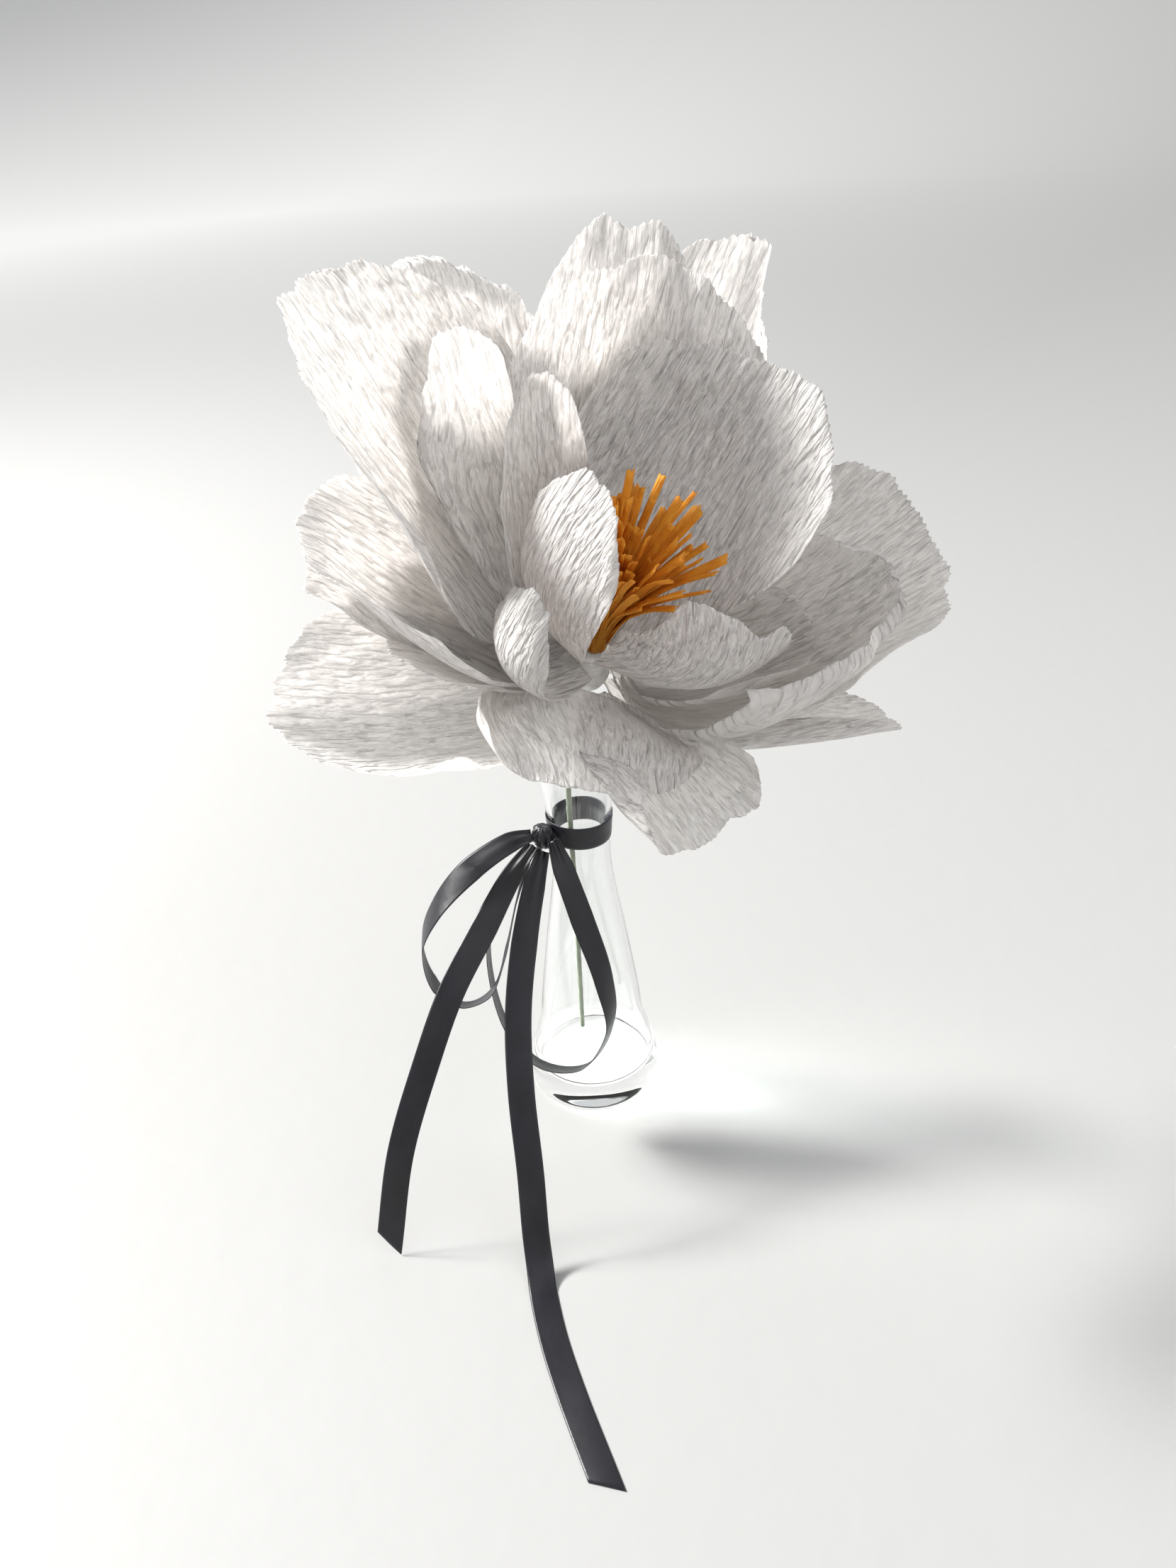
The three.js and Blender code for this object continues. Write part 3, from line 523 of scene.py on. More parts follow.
def outside_radius(z):
    rows = np.array(vase_outside())
    return float(np.interp(z / VASE_H, rows[:, 0], rows[:, 1]))


def vase(glass):
    side = finer([(r, s * VASE_H) for s, r in vase_outside()], 6)
    inner = [(r - WALL, z) for r, z in side if z > FLOOR_Z + 6]
    heel = [(0, 0), (FOOT_R - 7, 0.35), (FOOT_R - 3.5, 0.0), (FOOT_R - 0.6, 0.0)]
    over = np.arange(1, 6) * math.pi / 6
    rim = [(RIM_R - WALL * (1 - math.cos(a)) / 2, VASE_H + RIM_CROWN * math.sin(a)) for a in over]
    bowl = [(inner[0][0] - 0.6, FLOOR_Z + 2.5), (inner[0][0] - 3, FLOOR_Z + 0.3), (8, FLOOR_Z), (0, FLOOR_Z)]
    profile = heel + list(map(tuple, side)) + rim + inner[::-1] + list(map(tuple, finer(bowl, 4)))
    finish_piece(turned_object("glass_vase", profile), glass, "vase_glass", "vase")


# ---- stem and flower base ----

def tube_object(name, centres, radius, sides, ripple=None):
    centres = np.asarray(centres, float)
    ahead = unit(np.gradient(centres, axis=0))
    side = unit(np.array([1.0, 0, 0]) - ahead * ahead[:, :1])
    across = np.cross(ahead, side)
    run = np.concatenate([[0], np.cumsum(np.linalg.norm(np.diff(centres, axis=0), axis=1))])
    angles = np.arange(sides) * 2 * math.pi / sides
    r = radius + (ripple(angles[None, :], run[:, None]) if ripple else 0 * run[:, None] * angles)
    rings = (centres[:, None] + r[..., None] * (np.cos(angles)[None, :, None] * side[:, None]
                                                + np.sin(angles)[None, :, None] * across[:, None]))
    count = len(centres) * sides
    faces = [list(q) for q in grid_quads(len(centres), sides, closed=True)]
    for k in range(sides):
        after = (k + 1) % sides
        faces += [[count, k, after], [count + 1, count - sides + after, count - sides + k]]
    return solid_object(name, np.concatenate([rings.reshape(-1, 3), centres[:1], centres[-1:]]), faces)


def centripetal(points, count):
    """Points along a centripetal Catmull-Rom curve, evenly spread in the points' own numbering."""
    p = np.asarray(points, float)
    ends = np.concatenate([2 * p[:1] - p[1:2], p, 2 * p[-1:] - p[-2:-1]])
    out = []
    for t in np.linspace(0, len(p) - 1, count):
        i = min(int(t), len(p) - 2)
        a, b, c, d = ends[i:i + 4]
        da, db, dc = (np.linalg.norm(y - x) ** 0.5 for x, y in ((a, b), (b, c), (c, d)))
        leave = ((b - a) / da - (c - a) / (da + db) + (c - b) / db) * db
        reach = ((c - b) / db - (d - b) / (db + dc) + (d - c) / dc) * db
        w = t - i
        bend, twist = 3 * (c - b) - 2 * leave - reach, 2 * (b - c) + leave + reach
        out.append(b + leave * w + bend * w**2 + twist * w**3)
    return np.array(out)


def tape_wrap(pitch, depth):
    """The step where one turn of tape laps the next, winding up the stem."""
    return lambda angle, run: depth * smooth((run / pitch + angle / (2 * math.pi)) % 1) - depth / 2


def stem(tape):
    foot = [-5, 15.5 * NECK_R / 11.5, FLOOR_Z + SEAT + 0.4]
    mouth = [-2.6, -10.8 * NECK_R / 11.5, VASE_H * 0.95]
    up = HEAD_AXES[:, 2]
    end = to_world(np.array([0, 0, BASE_BOTTOM - SEAT]))
    middle = [(a + b) / 2 for a, b in zip(foot, mouth)]
    path = centripetal([foot, middle, mouth, end - 16 * up, end], 260)
    wrap = tape_wrap(9, 0.16)
    finish_piece(tube_object("taped_stem", path, WIRE_R - 0.05, 20, wrap), tape, "stem_tape", "stem")


def flower_base():
    """A cone on the wire with one step for each ring of petals."""
    rows = [(0, BASE_BOTTOM), (1.5, BASE_BOTTOM), (2.6, -20), (5.4, -15), (7.4, -12), (7.5, -7.6),
            (6.35, -6.7), (6.3, -3.6), (5.1, -2.7), (5.0, 0.4), (3.6, 1.2), (3.5, 4), (0, 4.6)]
    profile = [rows[0], *finer(rows[1:-1], 6), rows[-1]]
    piece = turned_object("wrapped_base", profile, 72, to_world, tape_wrap(4.5, 0.3))
    finish_piece(piece, core_material(), "stem_tape", "flower_base")


# ---- petals ----
# az: where the petal stands round the head; base, tip, curl: degrees it opens from the head's axis;
# L, W: sheet length and width; claw, shoulder: share of the width at the foot, of the length at the widest;
# cup: half angle of the cross curve; roll: turn about the spine; rim, wave: scallop and ruffle.
# folds, and the finished surface's own curls: edge, share kept, radius, degrees, +1 outward or -1 inward.
# Only on the finished surface: flaps, folded past a line on the flat sheet (its angle and distance,
# radius, degrees, side), pleats (place across, height, depth, width) and crinkle, the rim's frill.

WHORLS = {"inner": (4.0, 3), "middle": (5.5, -1), "outer": (6.8, -5), "last": (8.0, -9)}
PLAIN = dict(curl=0, shoulder=0.55, claw=0.1, cup=50, roll=0, rim=0, rims=3, wave=0, waves=2, folds=[],
             curls=[], flaps=[], pleats=[], crinkle=1.2)
PETALS = [
    ("petal_inner_front", "inner", dict(az=-152, base=42, tip=-15, curl=-20, L=94, W=40, cup=25,
                                        roll=5, shoulder=0.68, rim=0.03)),
    ("petal_inner_left", "inner", dict(az=136, base=38, tip=12, curl=-6, L=97, W=38, cup=23, roll=4,
                                       shoulder=0.45, flaps=[(-50, 62, 3, 150, -1)])),
    ("petal_inner_back", "inner", dict(az=54, base=58, tip=44, curl=8, L=104, W=90, cup=42, rim=0.02,
                                       shoulder=0.62, folds=[("T", 0.93, 5, 40, 1)],
                                       flaps=[(-42, 88, 6, 60, 1)])),
    ("petal_inner_right", "middle", dict(az=-42, base=69, tip=-4, curl=-18, L=78, W=56, roll=-52,
                                         shoulder=0.42, rim=-0.11, rims=1.5, claw=0.45)),
    ("petal_middle_small", "middle", dict(az=-146, base=81, tip=-12, curl=-25, L=80, W=31, roll=-3,
                                          shoulder=0.66, claw=0.5)),
    ("petal_inner_low", "inner", dict(az=0, base=80, tip=54, L=70, W=42, cup=45)),
    ("petal_middle_upright", "middle", dict(az=145, base=41, tip=25, L=114, W=31, cup=-30, roll=-15,
                                            shoulder=0.76)),
    ("petal_middle_back", "middle", dict(az=82, base=56, tip=28, curl=15, L=122, W=88, cup=55, wave=2.5,
                                         pleats=[(-12, 84, 5, 5)])),
    ("petal_middle_right", "middle", dict(az=0, base=83, tip=23, curl=-6, L=107, W=72, cup=55, roll=-6,
                                          shoulder=0.52, rim=0.02, rims=1.7, curls=[("T", 0.94, 4, 60, -1)])),
    ("petal_outer_left_high", "outer", dict(az=143, base=58, tip=44, curl=15, L=141, W=88, roll=8, wave=2)),
    ("petal_middle_left", "middle", dict(az=172, base=66, tip=50, curl=20, L=100, W=62)),
    ("petal_outer_back", "outer", dict(az=88, base=60, tip=32, curl=20, L=137, W=58, cup=40)),
    ("petal_outer_back_right", "outer", dict(az=68, base=62, tip=36, curl=12, L=143, W=70, wave=2,
                                             flaps=[(-80, 27, 4, 80, 1)])),
    ("petal_last_left_high", "last", dict(az=122, base=56, tip=36, curl=20, L=141, W=70,
                                          folds=[("T", 0.9, 5, 90, 1)])),
    ("petal_outer_right", "outer", dict(az=20, base=90, tip=45, curl=2, L=132, W=90, cup=45, roll=-10,
                                        shoulder=0.65, wave=2)),
    ("petal_outer_left_small", "outer", dict(az=-172, base=72, tip=64, L=62, W=30, cup=35)),
    ("petal_outer_left", "outer", dict(az=174, base=74, tip=58, curl=10, L=92, W=46, cup=45,
                                       flaps=[(84, 15, 3, 125, -1)])),
    ("petal_outer_front", "outer", dict(az=-89, base=20, tip=104, curl=-21, L=54, W=63, cup=13,
                                        roll=-11, shoulder=0.61, claw=0.4)),
    ("petal_last_front_right", "last", dict(az=-64, base=66, tip=83, curl=7, L=67, W=67, cup=29,
                                            roll=-10, shoulder=0.7, rim=0.05, flaps=[(-80, 27, 3, 140, -1)])),
    ("petal_last_right", "last", dict(az=-3, base=79, tip=72, curl=-5, L=108, W=54, cup=51, roll=6,
                                      shoulder=0.53, flaps=[(-86, 19, 3, 125, -1)])),
    ("petal_last_left", "last", dict(az=-164, base=86, tip=72, curl=10, L=98, W=72, cup=35, wave=2)),
]


def opening(p, t):
    late = np.clip((t - 0.7) / 0.3, 0, 1) ** 2
    return (p["base"] + (p["tip"] - p["base"]) * smooth(t / 0.85) + p["curl"] * late) * DEG


def spine_of(p, steps=60):
    az = p["az"] * DEG
    r0, z0 = WHORLS[p["whorl"]]
    a = opening(p, (np.arange(steps) + 0.5) / steps)
    d = np.stack([np.sin(a) * math.cos(az), np.sin(a) * math.sin(az), np.cos(a)], 1) * p["L"] / steps
    start = np.array([[r0 * math.cos(az), r0 * math.sin(az), z0]])
    return np.concatenate([start, start + np.cumsum(d, 0)])


def flat_sheet(p, u, s):
    """A grid node on the flat sheet: across in millimetres, share of the length, share across."""
    v = np.sin(math.pi / 2 * s)
    outline = p["shoulder"] + (1 - p["shoulder"]) * np.sqrt(np.maximum(0, 1 - v * v))
    t = u * outline * (1 + p["rim"] * np.sin(p["rims"] * math.pi * v))
    swell = np.sin(math.pi / 2 * np.clip(t / p["shoulder"], 0, 1)) ** 0.85
    return p["W"] / 2 * v * (p["claw"] + (1 - p["claw"]) * swell), t, v + 0 * u


def curved(p, x, t, v):
    spine = spine_of(p)
    steps = len(spine) - 1
    q = np.clip(t, 0, 1) * steps
    i = np.minimum(q.astype(int), steps - 1)
    a, az, r = opening(p, t), p["az"] * DEG, p["roll"] * DEG
    side = np.array([-math.sin(az), math.cos(az), 0])
    inner = np.stack([-np.cos(a) * math.cos(az), -np.cos(a) * math.sin(az), np.sin(a)], -1)
    across = side * math.cos(r) + inner * math.sin(r)
    up = inner * math.cos(r) - side * math.sin(r)
    c = p["cup"] * DEG * smooth(0.25 + t / 0.5)
    h = p["W"] / 2
    phi = c * x / h
    past = np.maximum(t - 1, 0)[..., None] * steps * (spine[-1] - spine[-2])
    lift = p["wave"] * v * v * np.sin(2 * math.pi * p["waves"] * t + 1.3 * np.sign(v)) * smooth(t / 0.5)
    return (spine[i] + (spine[i + 1] - spine[i]) * (q - i)[..., None] + past
            + across * (h * np.sin(phi) / c - np.sin(phi) * lift)[..., None]
            + up * (h * (1 - np.cos(phi)) / c + np.cos(phi) * lift)[..., None])


# ---- laying the petals: each one opens outward until it clears those inside it ----

def plan_of(points):
    """Distance from the pole spread out flat by azimuth, and the opening angle, as rows of three."""
    q = points - POLE
    rho = np.linalg.norm(q, axis=-1)
    at = np.arctan2(q[..., 1], q[..., 0])
    return np.stack([rho * np.cos(at), rho * np.sin(at), np.arccos(np.clip(q[..., 2] / rho, -1, 1))], -1)


def opened(points, more):
    q = points - POLE
    rho = np.linalg.norm(q, axis=-1)
    at = np.arctan2(q[..., 1], q[..., 0])
    angle = np.arccos(np.clip(q[..., 2] / rho, -1, 1)) + more
    ring = rho * np.sin(angle)
    return np.stack([ring * np.cos(at), ring * np.sin(at), rho * np.cos(angle)], -1) + POLE


def cell_triangles(plan):
    a, b, c, d = plan[:-1, :-1], plan[1:, :-1], plan[1:, 1:], plan[:-1, 1:]
    halves = [np.stack([a, b, c], 2), np.stack([a, c, d], 2)]
    return np.concatenate([h.reshape(-1, 3, 3) for h in halves])


def covers(points, triangles):
    """The opening angle of each triangle over each plan point, or minus infinity where it isn't over it."""
    a, b, c = triangles[:, 0], triangles[:, 1], triangles[:, 2]
    whole = (b[:, 0] - a[:, 0]) * (c[:, 1] - a[:, 1]) - (c[:, 0] - a[:, 0]) * (b[:, 1] - a[:, 1])
    whole = np.where(np.abs(whole) < 1e-9, np.nan, whole)
    px, py = points[:, :1], points[:, 1:2]
    wa = ((b[:, 0] - px) * (c[:, 1] - py) - (c[:, 0] - px) * (b[:, 1] - py)) / whole
    wb = ((px - a[:, 0]) * (c[:, 1] - a[:, 1]) - (c[:, 0] - a[:, 0]) * (py - a[:, 1])) / whole
    wc = 1 - wa - wb
    over = (wa >= 0) & (wb >= 0) & (wc >= 0)
    return np.where(over, wa * a[:, 2] + wb * b[:, 2] + wc * c[:, 2], -np.inf)


def denser(grid):
    rows = np.zeros((2 * len(grid) - 1,) + grid.shape[1:])
    rows[::2], rows[1::2] = grid, (grid[1:] + grid[:-1]) / 2
    out = np.zeros((len(rows), 2 * grid.shape[1] - 1, 3))
    out[:, ::2], out[:, 1::2] = rows, (rows[:, 1:] + rows[:, :-1]) / 2
    return out


def over_push(grid, laid):
    fine = denser(grid)
    plan = plan_of(fine)
    need = covers(plan.reshape(-1, 3), laid).max(1).reshape(fine.shape[:2])
    rho = np.hypot(plan[..., 0], plan[..., 1])
    short = np.where(need < 0, 0, np.maximum(0, need + PETAL_GAP / rho - plan[..., 2]))
    wide = np.pad(short, 1)
    n, m = grid.shape[:2]
    near = [wide[a:a + 2 * n - 1:2, b:b + 2 * m - 1:2] for a in range(3) for b in range(3)]
    return np.max(near, 0)


def under_push(grid, points):
    """How far each cell must open so that no point of a laid petal shows through it."""
    plan = plan_of(grid)
    over = covers(points, cell_triangles(plan))
    want = points[:, 2:] + PETAL_GAP / np.hypot(points[:, 0], points[:, 1])[:, None]
    short = np.where(np.isfinite(over), want - over, 0).max(0).clip(0)
    first, second = short.reshape(2, len(grid) - 1, -1)
    push = np.zeros(grid.shape[:2])
    for part, corners in ((first, ((0, 0), (1, 0), (1, 1))), (second, ((0, 0), (1, 1), (0, 1)))):
        for di, dj in corners:
            view = push[di:di + part.shape[0], dj:dj + part.shape[1]]
            np.maximum(view, part, out=view)
    return push


def eased(push):
    for _ in range(6):
        wide = np.pad(push, 1)
        near = [wide[:-2, 1:-1], wide[2:, 1:-1], wide[1:-1, :-2], wide[1:-1, 2:]]
        push = np.maximum(push, 0.8 * np.max(near, 0))
    return push


def lay(grid, laid, points):
    if not len(laid):
        return grid
    for _ in range(5):
        grid = opened(grid, eased(np.maximum(over_push(grid, laid), under_push(grid, points))))
    return grid


def rolled(grid, edge, kept, radius, most, sign):
    """The margin past the kept share of each strip of points, rolled round a small cylinder."""
    normals = grid_normals(grid)
    turn = {"T": lambda g: g.swapaxes(0, 1), "L": lambda g: g[:, ::-1], "R": lambda g: g}[edge]
    strips, lifts = turn(grid).copy(), turn(normals)
    for strip, lift in zip(strips, lifts):
        run = np.concatenate([[0], np.cumsum(np.linalg.norm(np.diff(strip, axis=0), axis=1))])
        if run[-1] < 1:
            continue
        start = kept * run[-1]
        j = int(np.argmax(run > start))
        f = (start - run[j - 1]) / (run[j] - run[j - 1])
        hinge = strip[j - 1] + (strip[j] - strip[j - 1]) * f
        ahead = unit(strip[j] - strip[j - 1])
        away = lift[j - 1] + (lift[j] - lift[j - 1]) * f
        away = -sign * unit(away - ahead * (away @ ahead))
        angle = np.minimum((run[j:] - start) / radius, most * DEG)
        rest = run[j:] - start - angle * radius
        strip[j:] = (hinge + np.outer(radius * np.sin(angle) + rest * np.cos(angle), ahead)
                     + np.outer(radius * (1 - np.cos(angle)) + rest * np.sin(angle), away))
    return turn(strips)


def upsampled(grid, n, m, u, s):
    """The smooth surface through a coarse grid, at shares u along and s across (-1 to 1)."""
    def ends(g):
        return np.concatenate([2 * g[:1] - g[1:2], g, 2 * g[-1:] - g[-2:-1]])

    padded = ends(ends(grid).swapaxes(0, 1)).swapaxes(0, 1)
    a, b = np.clip(u, 0, 1.02) * (n - 1), (np.clip(s, -1.01, 1.01) + 1) / 2 * (m - 1)
    i, j = np.clip(a.astype(int), 0, n - 2), np.clip(b.astype(int), 0, m - 2)
    wa, wb = _weights(a - i), _weights(b - j)
    return sum(wa[k][..., None] * wb[l][..., None] * padded[i + k, j + l] for k in range(4) for l in range(4))


def _weights(t):
    return (-0.5 * t + t**2 - 0.5 * t**3, 1 - 2.5 * t**2 + 1.5 * t**3,
            0.5 * t + 2 * t**2 - 1.5 * t**3, -0.5 * t**2 + 0.5 * t**3)


def cut_edge(u, s, seed):
    """Small teeth where the crepe was cut: the outermost nodes step in and out."""
    k = np.arange(u.shape[1])
    u[-1] += 0.0035 * np.where(k % 2, 1, -1) * (0.4 + lattice(k, k * 0, seed)) - 0.003
    k = np.arange(u.shape[0])
    teeth = 0.004 * np.where(k % 2, 1, -1) * (0.4 + lattice(k, k * 0 + 1, seed))
    for edge, way in ((0, -1), (-1, 1)):
        s[:, edge] += way * teeth * smooth(u[:, edge] * 3)
    return u, s


def flapped(grid, flat, angle, start, radius, most, sign):
    """The part of the sheet past a line on the flat, folded over a small radius."""
    across, along = math.sin(angle * DEG), math.cos(angle * DEG)
    past = flat[..., 0] * across + flat[..., 1] * along - start
    turn = np.minimum(np.maximum(past, 0) / radius, most * DEG)
    rest = np.maximum(past, 0) - turn * radius
    inside = radius * np.sin(turn) + rest * np.cos(turn)
    height = radius * (1 - np.cos(turn)) + rest * np.sin(turn)
    target = flat + np.where(past > 0, inside - past, 0)[..., None] * np.array([across, along])
    surface, normals = on_sheet(grid, flat, target)
    moved = surface - sign * normals * height[..., None]
    return np.where((past > 0)[..., None], moved, grid)


def on_sheet(grid, flat, target):
    """The surface point and normal over a place on the flat sheet, from the nearest node's own slopes."""
    nodes = flat.reshape(-1, 2)
    tree = KDTree(len(nodes))
    for k, (x, y) in enumerate(nodes):
        tree.insert((x, y, 0), k)
    tree.balance()
    near = np.array([tree.find((x, y, 0))[1] for x, y in target.reshape(-1, 2)])
    du, dv = (np.gradient(grid, axis=a).reshape(-1, 3) for a in (0, 1))
    fu, fv = (np.gradient(flat, axis=a).reshape(-1, 2) for a in (0, 1))
    det = fu[:, 0] * fv[:, 1] - fu[:, 1] * fv[:, 0]
    det = np.where(np.abs(det) < 1e-6, 1e-6, det)
    step = target.reshape(-1, 2) - nodes[near]
    wu = (step[:, 0] * fv[near, 1] - step[:, 1] * fv[near, 0]) / det[near]
    wv = (step[:, 1] * fu[near, 0] - step[:, 0] * fu[near, 1]) / det[near]
    points = grid.reshape(-1, 3)[near] + wu[:, None] * du[near] + wv[:, None] * dv[near]
    normals = grid_normals(grid).reshape(-1, 3)[near]
    return points.reshape(grid.shape), normals.reshape(grid.shape)


def crinkled(grid, flat, p, seed):
    """Ridges along the sheet, deeper and looser toward the cut rim."""
    x, y = flat[..., 0], flat[..., 1]
    u = np.linspace(0, 1, grid.shape[0])[:, None]
    s = np.abs(np.linspace(-1, 1, grid.shape[1]))[None, :]
    rim = smooth((np.maximum(u, s) - 0.72) / 0.28)
    ridges = 0.16 * noise(x / 2.6, y / 15, seed) + 0.09 * noise(x / 1.9 + 7, y / 8, seed + 1)
    frill = p["crinkle"] * rim * (noise(x / 7, y / 16, seed + 2) + 0.5 * noise(x / 3.2, y / 7, seed + 3))
    belly = 0.9 * noise(x / 22, y / 30, seed + 4) * smooth(u * 2)
    pleats = sum(depth * np.exp(-np.abs(x - x0) / width) * smooth((y - y0) / 25)
                 for x0, y0, depth, width in p["pleats"])
    return grid + grid_normals(grid) * (ridges * smooth(y / 20) + frill + belly + pleats)[..., None]


def petal_object(name, p, control, seed):
    n = max(24, int(p["L"] * 1.05 / CELL / 1.25))
    m = max(20, int(p["W"] * 1.25 / CELL))
    u, s = np.meshgrid(np.linspace(0, 1, n + 1), np.linspace(-1, 1, m + 1), indexing="ij")
    x, t, _ = flat_sheet(p, u, s)
    flat = np.stack([x, t * p["L"]], -1)
    wander = noise(s * 4 + 9, s * 0 + seed, seed) + 0.6 * noise(s * 11, s * 0 + seed, seed + 5)
    u = u * (1 - 0.02 * u * (1 + wander))
    u, s = cut_edge(u, s, seed)
    grid = upsampled(control, CELLS + 1, CELLS + 1, u, s)
    grid = crinkled(grid, flat, p, seed)
    for fold in p["curls"] or ([] if p["flaps"] else p["folds"]):
        grid = rolled(grid, *fold)
    for flap in p["flaps"]:
        grid = flapped(grid, flat, *flap)
    uv = flat / 10 + np.array([17.0 * seed, 0])
    return sheet_object(name + "_paper", grid, PAPER_T, uv, to_world)


def petals(paper):
    laid, points = np.zeros((0, 3, 3)), np.zeros((0, 3))
    u, s = np.meshgrid(np.linspace(0, 1, CELLS + 1), np.linspace(-1, 1, CELLS + 1), indexing="ij")
    for seed, (name, whorl, shape) in enumerate(PETALS):
        p = {**PLAIN, **shape, "whorl": whorl}
        control = lay(curved(p, *flat_sheet(p, u, s)), laid, points)
        settled = control
        for fold in p["folds"]:
            settled = rolled(settled, *fold)
        laid = np.concatenate([laid, cell_triangles(plan_of(settled))])
        points = np.concatenate([points, plan_of(denser(settled)).reshape(-1, 3)])
        finish_piece(petal_object(name, p, control, seed), paper, "petal_paper", name)


# ---- stamens: rolled strips of orange crepe, each cut into a fringe ----

STAMENS = [("stamens_outer", 3.0, 34, 60, 1.0, 12), ("stamens_middle", 2.1, 24, 62, 0.75, 30),
           ("stamens_core", 1.2, 14, 58, 0.35, 0)]
STRIP_T = 0.24
FRINGE_FOOT = 5
LEAN_AT = 32 * DEG


def strip_grid(radius, at, length, spread, width, twist, curl, seed):
    """One cut strip: rises from the roll, opens outward, turns a little and ends frayed."""
    rows, cols = 26, 4
    share = np.linspace(0, 1, rows + 1)
    angle = spread * smooth(0.15 + 0.85 * share) + curl * share**2
    step = length / rows
    d = np.stack([np.sin(angle) * math.cos(at), np.sin(angle) * math.sin(at), np.cos(angle)], -1)
    start = np.array([radius * math.cos(at), radius * math.sin(at), FRINGE_FOOT])
    centre = start + np.concatenate([[[0, 0, 0]], np.cumsum(d[1:] * step, 0)])
    around = np.array([-math.sin(at), math.cos(at), 0])
    out = np.cross(around, d)
    turn = (twist * share**1.5)[:, None]
    wide = around * np.cos(turn) + out * np.sin(turn)
    lift = np.cross(d, wide)
    across = np.linspace(-0.5, 0.5, cols + 1)
    breadth = width * (0.55 + 0.45 * smooth(share * 2.2))
    grid = centre[:, None] + wide[:, None] * (breadth[:, None] * across)[..., None]
    gutter = 0.35 * np.cos(across * 2 * math.pi) * smooth(share * 3)[:, None]
    wander = noise(share * 5, share * 0 + seed, seed)[:, None]
    grid = grid + lift[:, None] * (gutter + 0.5 * wander)[..., None]
    grid[-1] += d[-1] * (noise(across * 9, across * 0 + seed, seed) * 0.8)[:, None]
    flat = np.stack(np.broadcast_arrays(breadth[:, None] * across, (share * length)[:, None]), -1)
    return grid, flat / 10 + np.array([3.1 * seed, 1.7 * seed])


def stamen_ring(name, radius, count, length, share, start, seed):
    points, faces, uvs, total = [], [], [], 0
    for k in range(count):
        draw = [float(lattice(np.array(k * 1.0), np.array(seed * 1.0), c)) - 0.5 for c in range(7)]
        at = start * DEG + (k + 0.7 * draw[0]) * 2 * math.pi / count
        spread = (14 + 34 * abs(math.cos((at - LEAN_AT) / 2)) ** 3) * share * DEG + 9 * draw[1] * DEG
        grid, uv = strip_grid(radius + draw[2], at, length * (0.93 + 0.3 * draw[3]), spread,
                              2.9 + 2.2 * draw[4], 1.6 * draw[5], 26 * DEG * draw[6], seed * 40 + k)
        n, m = grid.shape[:2]
        normals = grid_normals(grid)
        sides = [(grid + w * normals * (STRIP_T / 2)).reshape(-1, 3) for w in (1, -1)]
        ring = np.array(border(n, m))
        after = np.roll(ring, -1)
        quads = grid_quads(n, m)
        faces += [quads + total, quads[:, ::-1] + n * m + total,
                  np.stack([ring, after, after + n * m, ring + n * m], 1) + total]
        points += sides
        uvs += [uv.reshape(-1, 2)] * 2
        total += 2 * n * m
    whole, quads, flat = (np.concatenate(rows) for rows in (points, faces, uvs))
    return sheet_mesh_object(name + "_fringe", to_world(whole), quads, flat)


def stamens(orange):
    for seed, (name, *ring) in enumerate(STAMENS):
        finish_piece(stamen_ring(name, *ring, seed + 1), orange, "stamen_paper", name)


# ---- ribbon ----

KNOT_R = outside_radius(COLLAR_MID) + 2 * SEAT + 0.5 + KNOT_DEEP + 0.05
KNOT = np.array([KNOT_R * math.cos(KNOT_AT), KNOT_R * math.sin(KNOT_AT), COLLAR_MID + 0.5])
# Each row: point, the way the satin face looks, width.
LOOP_LEFT = [
    (-3.8, -2.1, 2.0, 0, -0.6, 1, 5), (-12, -7, 2.6, -0.2, -0.75, 0.9, 8.5),
    (-28, -13, -5, -0.5, -0.75, 0.5, 10), (-42, -17, -19, -1, -0.45, 0.25, 10),
    (-49, -19, -34, -1, -0.1, 0, 10), (-46.5, -20, -53, -1, 0, -0.5, 10),
    (-36, -20, -64.5, -0.3, -0.5, -1, 10), (-25, -19, -60, 0.8, -0.2, -0.6, 10),
    (-17.5, -16.5, -42, 1, 0, -0.2, 10), (-12, -12, -22, 1, 0, 0, 8), (-6.6, -6.2, -8.2, 1, -0.2, 0, 4),
]
LOOP_RIGHT = [
    (3.8, -4.6, 0.5, 0.5, -0.8, 0.6, 5), (7, -9, -9, 0.5, -0.85, 0.4, 9),
    (13, -14, -30, 0.5, -0.85, 0.3, 10), (20, -19.5, -56, 0.7, -0.7, 0.1, 10),
    (21.5, -24, -77, 1, -0.5, -0.5, 10), (10, -25.5, -96, 0.3, -0.6, -1, 10),
    (-7, -24, -95, -0.5, -0.4, -1, 10), (-20, -18, -80, -1, -0.1, -0.5, 10),
    (-26, -4, -56, -1, 0.1, 0, 10), (-21, -2.5, -31, -1, 0.2, 0.2, 9),
    (-9.5, 1.5, -14, -1, 0.3, 0.4, 6), (-1.2, 0.6, -5.6, -1, 0.2, 0.6, 4),
]
TAIL_LEFT = [
    (-4.1, -3.4, 0.984, -0.4, -0.8, 0.6, 5), (-12.3, -12.3, 0.93, -0.3, -0.85, 0.5, 8.5),
    (-23.8, -25.8, 0.82, 0, -0.87, 0.5, 10), (-36.8, -40.8, 0.69, 0, -0.87, 0.5, 10),
    (-47.8, -54.8, 0.52, 0, -0.87, 0.5, 10), (-59.3, -69.8, 0.3, 0, -0.87, 0.5, 10),
    (-66.8, -82.3, 0.035, 0, -0.87, 0.5, 10),
]
